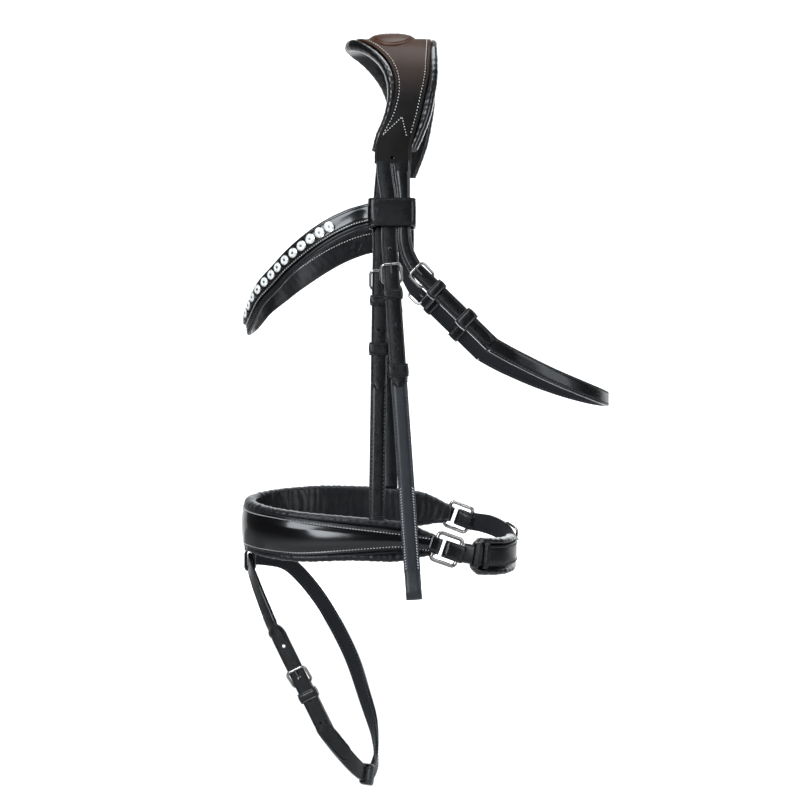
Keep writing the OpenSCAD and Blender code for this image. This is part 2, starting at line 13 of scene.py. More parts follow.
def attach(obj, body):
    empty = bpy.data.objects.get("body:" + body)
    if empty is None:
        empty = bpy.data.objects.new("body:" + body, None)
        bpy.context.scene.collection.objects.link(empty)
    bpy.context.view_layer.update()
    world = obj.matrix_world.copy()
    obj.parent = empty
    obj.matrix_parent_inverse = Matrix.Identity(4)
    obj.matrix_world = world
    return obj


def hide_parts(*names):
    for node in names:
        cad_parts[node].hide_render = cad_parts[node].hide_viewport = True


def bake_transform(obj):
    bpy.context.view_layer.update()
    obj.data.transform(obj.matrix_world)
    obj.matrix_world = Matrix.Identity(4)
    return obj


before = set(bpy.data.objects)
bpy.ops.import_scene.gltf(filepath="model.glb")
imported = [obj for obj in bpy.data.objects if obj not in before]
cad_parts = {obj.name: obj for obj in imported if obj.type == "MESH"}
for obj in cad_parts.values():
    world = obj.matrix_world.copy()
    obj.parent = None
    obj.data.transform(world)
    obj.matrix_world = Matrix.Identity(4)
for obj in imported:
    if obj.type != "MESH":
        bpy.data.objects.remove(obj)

LOG = logging.getLogger("bridle")
MM = 0.001
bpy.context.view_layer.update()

# Driving sizes in millimetres, as in the part's source
STRAP_HALF = 6.75
STRAP_T = 2.0
THROAT_HALF = 6.5
FOLD_TOP = -1.2
FOLD_T = 3.6
FOLD_BACK = FOLD_TOP - FOLD_T
BUCKLE_L = 15.0
WIRE_R = 1.1
BAR_W = STRAP_T / 2 + 0.2 + WIRE_R
HEEL_W = FOLD_TOP - 2.8
FLEX_Z = -183.0
CHEEK_SLANT = 4.0
HOLE_PITCH = 21.0
NOSE_Z = -423.0
NOSE_YAW = 0.14
NOSE_ROLL = 0.16


class Side(Enum):
    """The near side is the horse's left, towards -Y."""

    NEAR = "near"
    OFF = "off"

    @property
    def flip(self) -> Matrix:
        """Takes a near-side place to this side."""
        return Matrix.Diagonal((1, -1 if self is Side.OFF else 1, 1, 1))


class Lie(Enum):
    """How a strap lies: round the head, over the poll, or hanging at its side."""

    SIDE = "side"
    OVER = "over"
    HANG = "hang"


# ---------------- geometry


@dataclass
class Shape:
    """Vertices in millimetres, faces, a finish number for each face, and corner coordinates.

    Attributes:
        verts: The points.
        faces: Corner numbers, counter-clockwise seen from outside.
        marks: Which finish each face takes.
        uvs: One (along, across) pair for each corner of each face.
    """

    verts: list[Vector] = field(default_factory=list)
    faces: list[tuple[int, ...]] = field(default_factory=list)
    marks: list[int] = field(default_factory=list)
    uvs: list[list[tuple[float, float]]] = field(default_factory=list)

    def add(self, other: "Shape") -> "Shape":
        """Joins another shape on to this one.

        Args:
            other: The shape to take in.

        Returns:
            This shape.
        """
        base = len(self.verts)
        self.verts += other.verts
        self.faces += [tuple(i + base for i in f) for f in other.faces]
        self.marks += other.marks
        self.uvs += other.uvs
        return self

    def face(self, corners: Sequence[int], mark: int = 0,
             uv: Sequence[tuple[float, float]] | None = None) -> None:
        """Adds one face.

        Args:
            corners: Vertex numbers.
            mark: Its finish.
            uv: Its corner coordinates, zero where left out.
        """
        self.faces.append(tuple(corners))
        self.marks.append(mark)
        self.uvs.append(list(uv) if uv else [(0.0, 0.0)] * len(corners))

    def flipped(self) -> "Shape":
        """Returns the same shape on the other side of the head.

        Returns:
            The mirrored shape.
        """
        return Shape([Vector((v.x, -v.y, v.z)) for v in self.verts],
                     [tuple(reversed(f)) for f in self.faces], list(self.marks),
                     [list(reversed(u)) for u in self.uvs])

    def on(self, side: Side) -> "Shape":
        """Returns the shape on that side, where it was made for the near side."""
        return self if side is Side.NEAR else self.flipped()


@dataclass(frozen=True)
class Station:
    """One place along a strap: its middle, its axes, and its edges above and below."""

    p: Vector
    t: Vector
    n: Vector
    w: Vector
    up: float = STRAP_HALF
    down: float = STRAP_HALF
    run: float = 0.0

    def at(self, across: float, out: float, along: float = 0.0) -> Vector:
        """Returns the point that far across, outwards and along from the middle."""
        return self.p + self.w * across + self.n * out + self.t * along


def catmull(rows: Sequence[Sequence[float]], steps: int) -> list[list[float]]:
    """Draws a smooth curve through rows of numbers.

    Args:
        rows: The rows that the curve goes through.
        steps: How many stretches each gap is divided into.

    Returns:
        The rows of the curve.
    """
    out: list[list[float]] = []
    last = len(rows) - 1
    for i in range(last):
        a, b, c, d = rows[max(i - 1, 0)], rows[i], rows[i + 1], rows[min(i + 2, last)]
        for j in range(steps):
            t = j / steps
            out.append([0.5 * (2 * q + (r - p) * t + (2 * p - 5 * q + 4 * r - s) * t * t
                               + (3 * q - p - 3 * r + s) * t ** 3)
                        for p, q, r, s in zip(a, b, c, d)])
    return out + [list(rows[-1])]


def mirrored_rows(rows: Sequence[Sequence[float]]) -> list[list[float]]:
    """Returns the rows of the other side, from the far end to the middle."""
    return [[r[0], -r[1], *r[2:]] for r in reversed(rows)]


class Route:
    """The middle line of a strap, with even steps and the strap's axes at each."""

    def __init__(self, rows: Sequence[Sequence[float]], lie: Lie = Lie.SIDE, step: float = 2.5,
                 smooth: bool = True) -> None:
        """Lays the route.

        Args:
            rows: [x, y, z] with optional height above and height below, in mm.
            lie: How the strap lies.
            step: Distance between stations.
            smooth: False where the rows are corners of a straight strap.
        """
        fine = catmull(rows, 16 if smooth else 1)
        points = [Vector(r[:3]) for r in fine]
        runs = [0.0]
        for a, b in zip(points, points[1:]):
            runs.append(runs[-1] + (b - a).length)
        self.length = runs[-1]
        count = max(2, round(self.length / step))
        self.stations: list[Station] = []
        rows_even: list[list[float]] = []
        k = 0
        for i in range(count + 1):
            s = self.length * i / count
            while k < len(runs) - 2 and runs[k + 1] < s:
                k += 1
            f = (s - runs[k]) / max(runs[k + 1] - runs[k], 1e-9)
            rows_even.append([u + (v - u) * f for u, v in zip(fine[k], fine[k + 1])])
        for i, r in enumerate(rows_even):
            before, after = rows_even[max(i - 1, 0)], rows_even[min(i + 1, count)]
            t = (Vector(after[:3]) - Vector(before[:3])).normalized()
            if lie is Lie.SIDE:
                n = Vector((t.y, -t.x, 0)).normalized()
                w = n.cross(t)
            elif lie is Lie.HANG:
                n = (Vector((0, -1, 0)) + t * t.y).normalized()
                w = n.cross(t)
            else:
                flat = Vector((0, t.y, t.z)).normalized()
                n = Vector((0, flat.z, -flat.y))
                w = Vector((1, 0, 0))
                t = flat
            up, down = (r[3], r[4]) if len(r) > 4 else (STRAP_HALF, STRAP_HALF)
            self.stations.append(Station(Vector(r[:3]), t, n, w, up, down, self.length * i / count))

    def near(self, run: float) -> Station:
        """Returns the station that is nearest to a distance along the route."""
        return min(self.stations, key=lambda s: abs(s.run - run))


@dataclass(frozen=True)
class Seat:
    """Local axes on a strap: x along it, y across it, z outwards."""

    o: Vector
    x: Vector
    y: Vector
    z: Vector

    @classmethod
    def straight(cls, o: Vector, slant: float) -> "Seat":
        """Returns the axes of a near-side strap that hangs down and slants to the rear."""
        s, c = math.sin(math.radians(slant)), math.cos(math.radians(slant))
        return cls(o, Vector((s, 0, -c)), Vector((c, 0, s)), Vector((0, -1, 0)))

    @classmethod
    def turned(cls, o: Vector, heading: float, slope: float) -> "Seat":
        """Turns the axes to a heading in plan and a slope.

        Args:
            o: Where they start.
            heading: Which way x points, in degrees.
            slope: How steeply it rises.

        Returns:
            The axes.
        """
        h, s = math.radians(heading), math.radians(slope)
        along = Vector((math.cos(h), math.sin(h), 0))
        x = along * math.cos(s) + Vector((0, 0, math.sin(s)))
        z = Vector((math.sin(h), -math.cos(h), 0))
        return cls(o, x, z.cross(x), z)

    def at(self, x: float, y: float, z: float) -> Vector:
        """Returns a local point in the frame's millimetres."""
        return self.o + self.x * x + self.y * y + self.z * z

    def matrix(self, x: float, y: float, z: float, lean: float = 0.0) -> Matrix:
        """Returns the placing, in metres, of a part that was turned about Z.

        Args:
            x: Local place of its foot.
            y: The same, across.
            z: The same, outwards.
            lean: How far its axis leans towards the strap's upper end, in degrees.

        Returns:
            The placing.
        """
        a = math.radians(lean)
        up = self.z * math.cos(a) - self.x * math.sin(a)
        side = up.cross(self.y)
        m = Matrix((-side, self.y, up)).transposed().to_4x4()
        return Matrix.Translation(self.at(x, y, z) * MM) @ m

    def run(self, start: float, end: float, half: float, step: float = 2.5,
            out: float = 0.0) -> list[Station]:
        """Returns stations along the straight strap from start to end.

        Args:
            start: Where they start.
            end: Where they end.
            half: Half the strap's width.
            step: Distance between them.
            out: How far out they lie.

        Returns:
            The stations.
        """
        count = max(1, round((end - start) / step))
        return [Station(self.at(start + (end - start) * i / count, 0, out), self.x, self.z, self.y,
                        half, half, (end - start) * i / count) for i in range(count + 1)]


def down(p: Sequence[float], slant: float, u: float) -> Vector:
    """Returns the point that lies u along a slanted strap below p."""
    a = math.radians(slant)
    return Vector((p[0] + u * math.sin(a), p[1], p[2] - u * math.cos(a)))


ProfilePoint = tuple[float, float, int]
Profile = Callable[[Station], list[ProfilePoint]]


def sweep(stations: Sequence[Station], profile: Profile, closed: bool = False) -> Shape:
    """Skins a closed section along stations.

    Args:
        stations: The places along the strap.
        profile: Gives the section's points (across, out, finish) at a station, clockwise.
        closed: True for a ring.

    Returns:
        The skin, with its ends capped where it isn't a ring.
    """
    shape = Shape()
    sections = [profile(s) for s in stations]
    m, n = len(sections[0]), len(stations)
    girth = [0.0]
    for (a, b, _), (c, d, _) in zip(sections[n // 2], sections[n // 2][1:] + sections[n // 2][:1]):
        girth.append(girth[-1] + math.hypot(c - a, d - b))
    for s, section in zip(stations, sections):
        shape.verts += [s.at(v, o) for v, o, _ in section]
    for i in range(n if closed else n - 1):
        j = (i + 1) % n
        u0, u1 = stations[i].run * MM, (stations[j].run if j else stations[i].run + 1) * MM
        for k in range(m):
            q = (k + 1) % m
            g0, g1 = girth[k] * MM, girth[k + 1] * MM
            shape.face((i * m + k, i * m + q, j * m + q, j * m + k), sections[i][k][2],
                       ((u0, g0), (u0, g1), (u1, g1), (u1, g0)))
    if not closed:
        shape.face(tuple(reversed(range(m))), 0)
        shape.face(tuple((n - 1) * m + k for k in range(m)), 0)
    return shape


FRONT, BACK = 0, 1


def strap_section(inner: float, outer: float, crease: float = 0.22, crown: float = 0.0,
                  back: int = BACK) -> Profile:
    """Makes the section of a leather strap with rounded edges and a creased line near each.

    Args:
        inner: How far out its back is.
        outer: How far out its face is.
        crease: Depth of the creased lines.
        crown: How much its middle bulges.
        back: Finish of the back.

    Returns:
        The section.
    """
    def section(s: Station) -> list[ProfilePoint]:
        """Returns the section's points at a station.

        Args:
            s: The station.

        Returns:
            The points, from one edge round.
        """
        u, d = s.up, s.down
        thick = outer - inner
        r = min(0.55, thick * 0.35, (u + d) * 0.2)
        ease = min(1.0, (u + d) / 9.0)
        c = crease * ease
        line = 1.5 * ease
        lip = 0.45 * ease
        pts = [(u - r, outer, 0), (u - line + lip, outer, 0), (u - line, outer - c, 0),
               (u - line - lip, outer + crown * 0.25, 0),
               ((u - d) / 2 + (u + d) * 0.2, outer + crown * 0.8, 0), ((u - d) / 2, outer + crown, 0),
               ((u - d) / 2 - (u + d) * 0.2, outer + crown * 0.8, 0),
               (-d + line + lip, outer + crown * 0.25, 0), (-d + line, outer - c, 0),
               (-d + line - lip, outer, 0), (-d + r, outer, 0),
               (-d + r * 0.3, outer - r * 0.3, 0), (-d, outer - r, 0), (-d, inner + r, 0),
               (-d + r * 0.3, inner + r * 0.3, 0), (-d + r, inner, back), ((u - d) / 2, inner, back),
               (u - r, inner, 0), (u - r * 0.3, inner + r * 0.3, 0), (u, inner + r, 0),
               (u, outer - r, 0), (u - r * 0.3, outer - r * 0.3, 0)]
        return pts
    return section


def pad_section(inner: float, outer: float, roll: float, roll_out: float, wrinkle: float = 0.0) -> Profile:
    """Makes the section of a soft padded band with a full, wrinkled roll along each edge.

    Args:
        inner: How far out its inner face is.
        outer: How far out its flat outer face is, under the leather.
        roll: Width of the rolls.
        roll_out: How far out the rolls stand.
        wrinkle: Depth of the wrinkles that cross the rolls.

    Returns:
        The section.
    """
    def section(s: Station) -> list[ProfilePoint]:
        """Returns the section's points at a station.

        Args:
            s: The station.

        Returns:
            The points, from one edge round.
        """
        mid = (s.up - s.down) / 2
        half = (s.up + s.down) / 2
        w = min(roll, half * 0.6)
        c, r = (inner + roll_out) / 2, (roll_out - inner) / 2
        pts: list[ProfilePoint] = []
        steps = 12
        for edge in (1, -1):
            ring = []
            for k in range(steps + 1):
                a = math.pi * (k / steps) * 1.16 - 0.16 * math.pi
                fold = ripple(s.run + edge * 37, k * 0.7) * wrinkle
                ring.append((mid + edge * (half - w * 0.5 + (w * 0.5 + fold) * math.sin(a)),
                             c + (r + fold) * math.cos(a), 0))
            if edge > 0:
                ring.reverse()
            pts += ring
            if edge > 0:
                pts += [(mid + half - w - 0.4, outer, 0), (mid, outer, 0), (mid - half + w + 0.4, outer, 0)]
            else:
                for f in (-0.62, -0.45, -0.28, -0.1, 0.1, 0.28, 0.45, 0.62):
                    dent = wrinkle * (1 - f * f) * 0.9 * ripple(s.run * 0.8 + 11, f * 5)
                    pts.append((mid + half * f, inner + 0.35 + dent, 0))
        return pts
    return section


def ripple(run: float, turn: float) -> float:
    """Works out how deep uneven wrinkles are, from -1 to 1.

    Args:
        run: Distance along it, in millimetres.
        turn: How far round it.

    Returns:
        The depth.
    """
    lean = run + 0.8 * math.sin(turn * 0.9 + run * 0.05)
    return (0.5 * math.sin(lean * 1.05 + math.sin(run * 0.21)) + 0.3 * math.sin(lean * 0.47 + 1.3)
            + 0.2 * math.sin(lean * 1.9 + math.sin(run * 0.13) * 2))


def round_section(radius: float, sides: int = 14, wide: float = 1.0) -> Profile:
    """Makes a round or oval section.

    Args:
        radius: Its radius.
        sides: How many sides it has.
        wide: How many times as wide it is.

    Returns:
        The section.
    """
    def section(s: Station) -> list[ProfilePoint]:
        """Returns the section's points at a station.

        Args:
            s: The station.

        Returns:
            The points, from one edge round.
        """
        turns = [-2 * math.pi * k / sides for k in range(sides)]
        return [(wide * radius * math.cos(a), radius * math.sin(a), 0) for a in turns]
    return section


def pointed(seat: Seat, start: float, tip: float, half: float, out: float = 0.0) -> list[Station]:
    """Returns the stations of a straight strap that ends in a blunt point.

    Args:
        seat: The strap's axes.
        start: Where it starts.
        tip: Where it ends.
        half: Half its width.
        out: How far out it lies.

    Returns:
        The stations.
    """
    body = seat.run(start, tip - 9, half, 2.5, out)
    end = []
    for s in seat.run(tip - 8, tip, half, 1.0, out):
        f = s.run / 8
        h = 1.6 + (half - 1.6) * math.sqrt(max(0.0, 1 - f * f * 0.97)) * (1 - 0.12 * f)
        end.append(replace(s, up=h, down=h, run=s.run + tip - 8 - start))
    return body + end


def ring_stations(points: Sequence[Vector], axis: Vector | None = None, half: float = 1.0) -> list[Station]:
    """Makes stations round a closed line of points.

    Args:
        points: The line.
        axis: Direction that the section's width keeps, or None for the line's own plane.
        half: Half the width of the section.

    Returns:
        The stations, facing away from the middle.
    """
    centre = sum(points, Vector()) / len(points)
    out: list[Station] = []
    run = 0.0
    n = len(points)
    for i, p in enumerate(points):
        t = (points[(i + 1) % n] - points[i - 1]).normalized()
        flat = axis if axis is not None else t.cross(p - centre).normalized()
        normal = t.cross(flat).normalized()
        if normal.dot(p - centre) < 0:
            normal = -normal
        out.append(Station(p, t, normal, normal.cross(t), half, half, run))
        run += (points[(i + 1) % n] - p).length
    return out


def rounded_box(half_a: float, half_b: float, r: float, steps: int = 6) -> list[tuple[float, float]]:
    """Returns the points of a rectangle with round corners, centred on zero.

    Args:
        half_a: Half its first side.
        half_b: Half its second side.
        r: The corners' radius.
        steps: Points in a corner.

    Returns:
        The points.
    """
    out = []
    for q, (ca, cb) in enumerate(((1, 1), (-1, 1), (-1, -1), (1, -1))):
        for k in range(steps + 1):
            a = math.pi / 2 * (q + k / steps)
            out.append((ca * (half_a - r) + r * math.cos(a), cb * (half_b - r) + r * math.sin(a)))
    return out


def finer(points: Sequence[Vector], cuts: int, longest: float) -> list[Vector]:
    """Divides the long sides of a closed line.

    Args:
        points: The line.
        cuts: How many stretches a long side is divided into.
        longest: A side longer than this is divided.

    Returns:
        The divided line.
    """
    out: list[Vector] = []
    for i, p in enumerate(points):
        q = points[(i + 1) % len(points)]
        count = cuts if (q - p).length > longest else 1
        out += [p + (q - p) * (k / count) for k in range(count)]
    return out


def stitches(places: Iterable[tuple[Vector, Vector, Vector]], long: float = 1.9, r: float = 0.4) -> Shape:
    """Makes a row of stitches, each a small fat thread that dips in at its ends.

    Args:
        places: The middle, direction and outward normal of each stitch.
        long: Length of a stitch.
        r: Radius of the thread.

    Returns:
        All the stitches.
    """
    shape = Shape()
    sides = 6
    for p, t, n in places:
        w = n.cross(t).normalized()
        base = len(shape.verts)
        for f, grow, lift in ((-0.5, 0.35, -0.6), (-0.28, 0.95, 0.1), (0.28, 0.95, 0.1), (0.5, 0.35, -0.6)):
            for k in range(sides):
                a = -2 * math.pi * k / sides
                shape.verts.append(p + t * (f * long) + n * (r * (grow * math.sin(a) + lift))
                                   + w * (r * grow * math.cos(a)))
        for i in range(3):
            for k in range(sides):
                q = (k + 1) % sides
                shape.face((base + i * sides + k, base + i * sides + q,
                            base + (i + 1) * sides + q, base + (i + 1) * sides + k))
        shape.face([base + k for k in reversed(range(sides))])
        shape.face([base + 3 * sides + k for k in range(sides)])
    return shape


def stitch_line(stations: Sequence[Station], across: Callable[[Station], float], out: float,
                pitch: float = 3.0, long: float = 1.7) -> Shape:
    """Sews along a strap.

    Args:
        stations: The stretch to sew.
        across: How far across the line runs at each station.
        out: Height of the surface.
        pitch: Distance from stitch to stitch.
        long: Length of a stitch.

    Returns:
        The stitches.
    """
    line = [(s.at(across(s), out), s.n) for s in stations]
    places = []
    left = pitch / 2
    for (a, na), (b, _) in zip(line, line[1:]):
        gap = (b - a).length
        if gap < 1e-6:
            continue
        t = (b - a) / gap
        while left <= gap:
            places.append((a + t * left, (t + na.cross(t) * 0.16).normalized(), na))
            left += pitch
        left -= gap
    return stitches(places, long)


def sewn_between(points: Sequence[Vector], n: Vector, pitch: float = 3.0) -> Shape:
    """Sews straight from point to point, on a surface that faces n.

    Args:
        points: The points.
        n: The way the surface faces.
        pitch: Distance between stitches.

    Returns:
        The stitches.
    """
    shape = Shape()
    for a, b in zip(points, points[1:]):
        count = max(1, round((b - a).length / pitch))
        t = (b - a).normalized()
        shape.add(stitches([(a + (b - a) * ((k + 0.5) / count), t, n) for k in range(count)], pitch * 0.55))
    return shape


# ---------------- finishes


def wire(links: bpy.types.NodeLinks, source: bpy.types.Node, out: str | int, target: bpy.types.Node,
         into: str | int) -> None:
    """Links an output of one node to an input of another."""
    links.new(source.outputs[out], target.inputs[into])


def give(node: bpy.types.Node, name: str | int, value: object) -> None:
    """Sets an input of a node."""
    node.inputs[name].default_value = value


def socket(group: bpy.types.NodeTree, name: str, way: str, kind: str = "NodeSocketFloat",
           value: float | None = None) -> None:
    """Adds a socket to a node group.

    Args:
        group: The node group.
        name: The socket's name.
        way: INPUT or OUTPUT.
        kind: The socket's type.
        value: Its default value.
    """
    made = group.interface.new_socket(name=name, in_out=way, socket_type=kind)
    if value is not None:
        made.default_value = value


def grain_group() -> bpy.types.NodeTree:
    """Makes the leather grain: fine pebbles, pores and long soft creases.

    Returns:
        A group that puts out a height and a mask of the hollows.
    """
    g = bpy.data.node_groups.new("leather_grain", "ShaderNodeTree")
    for name, value in (("Scale", 900.0), ("Crease Scale", 60.0), ("Creases", 0.3)):
        socket(g, name, "INPUT", value=value)
    socket(g, "Height", "OUTPUT")
    socket(g, "Hollows", "OUTPUT")
    n, k = g.nodes, g.links
    gi, go = n.new("NodeGroupInput"), n.new("NodeGroupOutput")
    co = n.new("ShaderNodeTexCoord")
    warp = n.new("ShaderNodeTexNoise")
    give(warp, "Scale", 160)
    mixed = n.new("ShaderNodeMix")
    mixed.data_type = "VECTOR"
    give(mixed, "Factor", 0.004)
    wire(k, co, "Object", warp, "Vector")
    wire(k, co, "Object", mixed, 4)
    wire(k, warp, "Color", mixed, 5)
    cells = n.new("ShaderNodeTexVoronoi")
    cells.feature = "DISTANCE_TO_EDGE"
    wire(k, mixed, 1, cells, "Vector")
    wire(k, gi, "Scale", cells, "Scale")
    pebble = n.new("ShaderNodeMapRange")
    give(pebble, "From Max", 0.25)
    wire(k, cells, "Distance", pebble, "Value")
    crease = n.new("ShaderNodeTexNoise")
    give(crease, "Detail", 4)
    give(crease, "Roughness", 0.6)
    give(crease, "Distortion", 0.8)
    wire(k, co, "Object", crease, "Vector")
    wire(k, gi, "Crease Scale", crease, "Scale")
    soft = n.new("ShaderNodeMath")
    soft.operation = "MULTIPLY"
    wire(k, crease, "Fac", soft, 0)
    wire(k, gi, "Creases", soft, 1)
    total = n.new("ShaderNodeMath")
    total.operation = "MULTIPLY_ADD"
    give(total, 1, 0.25)
    wire(k, pebble, "Result", total, 0)
    wire(k, soft, 0, total, 2)
    hollow = n.new("ShaderNodeMath")
    hollow.operation = "SUBTRACT"
    give(hollow, 0, 1)
    wire(k, pebble, "Result", hollow, 1)
    wire(k, total, 0, go, "Height")
    wire(k, hollow, 0, go, "Hollows")
    return g


def wear_and_highlight_group() -> bpy.types.NodeTree:
    """Makes a mask of sharp edges and crease ridges, where the colour lightens for rubbed wear and a painted
    highlight, and of light handling marks.

    Returns:
        The node group.
    """
    g = bpy.data.node_groups.new("edge_wear_and_highlight", "ShaderNodeTree")
    socket(g, "Amount", "INPUT", value=0.5)
    socket(g, "Worn And Highlight", "OUTPUT")
    socket(g, "Patches", "OUTPUT")
    n, k = g.nodes, g.links
    gi, go = n.new("NodeGroupInput"), n.new("NodeGroupOutput")
    geo = n.new("ShaderNodeNewGeometry")
    edge = n.new("ShaderNodeMapRange")
    give(edge, "From Min", 0.52)
    give(edge, "From Max", 0.62)
    wire(k, geo, "Pointiness", edge, "Value")
    co = n.new("ShaderNodeTexCoord")
    noise = n.new("ShaderNodeTexNoise")
    give(noise, "Scale", 45)
    give(noise, "Detail", 5)
    wire(k, co, "Object", noise, "Vector")
    worn_and_highlight = n.new("ShaderNodeMath")
    worn_and_highlight.operation = "MULTIPLY"
    wire(k, edge, "Result", worn_and_highlight, 0)
    wire(k, noise, "Fac", worn_and_highlight, 1)
    scaled = n.new("ShaderNodeMath")
    scaled.operation = "MULTIPLY"
    scaled.use_clamp = True
    wire(k, worn_and_highlight, 0, scaled, 0)
    wire(k, gi, "Amount", scaled, 1)
    wire(k, scaled, 0, go, "Worn And Highlight")
    wire(k, noise, "Fac", go, "Patches")
    return g


@dataclass
class Workshop:
    """Builds the node groups once and every finish from them."""

    grain: bpy.types.NodeTree = field(default_factory=grain_group)
    wear_and_highlight: bpy.types.NodeTree = field(default_factory=wear_and_highlight_group)

    def blank(self, name: str) -> tuple[bpy.types.Material, bpy.types.NodeTree, bpy.types.Node]:
        """Starts a material.

        Args:
            name: Its name.

        Returns:
            The material, its nodes and its Principled shader.
        """
        mat = bpy.data.materials.new(name)
        mat.use_nodes = True
        return mat, mat.node_tree, mat.node_tree.nodes["Principled BSDF"]


@dataclass(frozen=True)
class Leather:
    """A leather finish."""

    name: str
    colour: tuple[float, float, float]
    # colour that sharp edges and crease ridges lighten to: rubbed wear and a painted highlight
    worn_and_highlight: tuple[float, float, float]
    rough: float = 0.42
    rough_spread: float = 0.14
    grain: float = 1000.0
    depth: float = 0.25
    creases: float = 0.3
    crease_scale: float = 60.0
    coat: float = 0.0
    coat_rough: float = 0.1
    coat_ior: float = 1.5
    wear_and_highlight: float = 0.8
    sheen: float = 0.0
    gloss: float = 0.5
    # lighter brown that the colour turns to towards the top: the leather's own brown with a painted sheen
    top_colour_and_sheen: tuple[float, float, float] | None = None

    def make(self, shop: Workshop) -> bpy.types.Material:
        """Builds the material.

        Args:
            shop: Where the shared groups are.

        Returns:
            The material.
        """
        mat, tree, bsdf = shop.blank(self.name)
        n, k = tree.nodes, tree.links
        grain = n.new("ShaderNodeGroup")
        grain.node_tree = shop.grain
        give(grain, "Scale", self.grain)
        give(grain, "Creases", self.creases)
        give(grain, "Crease Scale", self.crease_scale)
        wear_and_highlight = n.new("ShaderNodeGroup")
        wear_and_highlight.node_tree = shop.wear_and_highlight
        give(wear_and_highlight, "Amount", self.wear_and_highlight)
        # Sharp edges and crease ridges lighten towards the second colour: partly rubbed wear, partly a
        # painted highlight.
        colour = n.new("ShaderNodeMix")
        colour.data_type = "RGBA"
        give(colour, 6, (*self.colour, 1))
        give(colour, 7, (*self.worn_and_highlight, 1))
        wire(k, wear_and_highlight, "Worn And Highlight", colour, "Factor")
        # Towards the top the colour turns to a lighter brown: the leather's own dark brown, lifted by a
        # painted sheen where the top light falls.
        if self.top_colour_and_sheen:
            co = n.new("ShaderNodeTexCoord")
            split = n.new("ShaderNodeSeparateXYZ")
            wire(k, co, "Object", split, "Vector")
            fade = n.new("ShaderNodeMapRange")
            fade.interpolation_type = "SMOOTHSTEP"
            give(fade, "From Min", -0.062)
            give(fade, "From Max", 0.012)
            wire(k, split, "Z", fade, "Value")
            tint = n.new("ShaderNodeMix")
            tint.data_type = "RGBA"
            give(tint, 6, (*self.colour, 1))
            give(tint, 7, (*self.top_colour_and_sheen, 1))
            wire(k, fade, "Result", tint, "Factor")
            wire(k, tint, 2, colour, 6)
        wire(k, colour, 2, bsdf, "Base Color")
        rough = n.new("ShaderNodeMapRange")
        give(rough, "To Min", self.rough - self.rough_spread)
        give(rough, "To Max", self.rough + self.rough_spread)
        wire(k, wear_and_highlight, "Patches", rough, "Value")
        wire(k, rough, "Result", bsdf, "Roughness")
        bump = n.new("ShaderNodeBump")
        give(bump, "Strength", self.depth)
        give(bump, "Distance", 0.0006)
        wire(k, grain, "Height", bump, "Height")
        wire(k, bump, "Normal", bsdf, "Normal")
        give(bsdf, "Coat Weight", self.coat)
        give(bsdf, "Coat Roughness", self.coat_rough)
        give(bsdf, "Coat IOR", self.coat_ior)
        give(bsdf, "Sheen Weight", self.sheen)
        give(bsdf, "Specular IOR Level", self.gloss)
        return mat


@dataclass(frozen=True)
class Metal:
    """A polished metal finish."""

    name: str
    colour: tuple[float, float, float] = (0.8, 0.79, 0.78)
    rough: float = 0.16

    def make(self, shop: Workshop) -> bpy.types.Material:
        """Builds the material from the workshop's groups.

        Args:
            shop: The workshop.

        Returns:
            The material.
        """
        mat, tree, bsdf = shop.blank(self.name)
        n, k = tree.nodes, tree.links
        wear_and_highlight = n.new("ShaderNodeGroup")
        wear_and_highlight.node_tree = shop.wear_and_highlight
        rough = n.new("ShaderNodeMapRange")
        give(rough, "To Min", self.rough * 0.4)
        give(rough, "To Max", self.rough * 1.9)
        wire(k, wear_and_highlight, "Patches", rough, "Value")
        wire(k, rough, "Result", bsdf, "Roughness")
        give(bsdf, "Base Color", (*self.colour, 1))
        give(bsdf, "Metallic", 1)
        return mat


@dataclass(frozen=True)
class CutStone:
    """Clear cut crystal."""

    name: str = "cut_crystal"
    colour: tuple[float, float, float] = (0.95, 0.91, 0.83)

    def make(self, shop: Workshop) -> bpy.types.Material:
        """Builds the material from the workshop's groups.

        Args:
            shop: The workshop.

        Returns:
            The material.
        """
        mat, tree, bsdf = shop.blank(self.name)
        n, k = tree.nodes, tree.links
        co, noise, tint = n.new("ShaderNodeTexCoord"), n.new("ShaderNodeTexNoise"), n.new("ShaderNodeMix")
        give(noise, "Scale", 400)
        tint.data_type = "RGBA"
        give(tint, 6, (*self.colour, 1))
        give(tint, 7, (0.8, 0.86, 0.9, 1))
        wire(k, co, "Object", noise, "Vector")
        wire(k, noise, "Fac", tint, "Factor")
        wire(k, tint, 2, bsdf, "Base Color")
        give(bsdf, "Roughness", 0.03)
        give(bsdf, "Transmission Weight", 0.25)
        give(bsdf, "IOR", 1.6)
        return mat


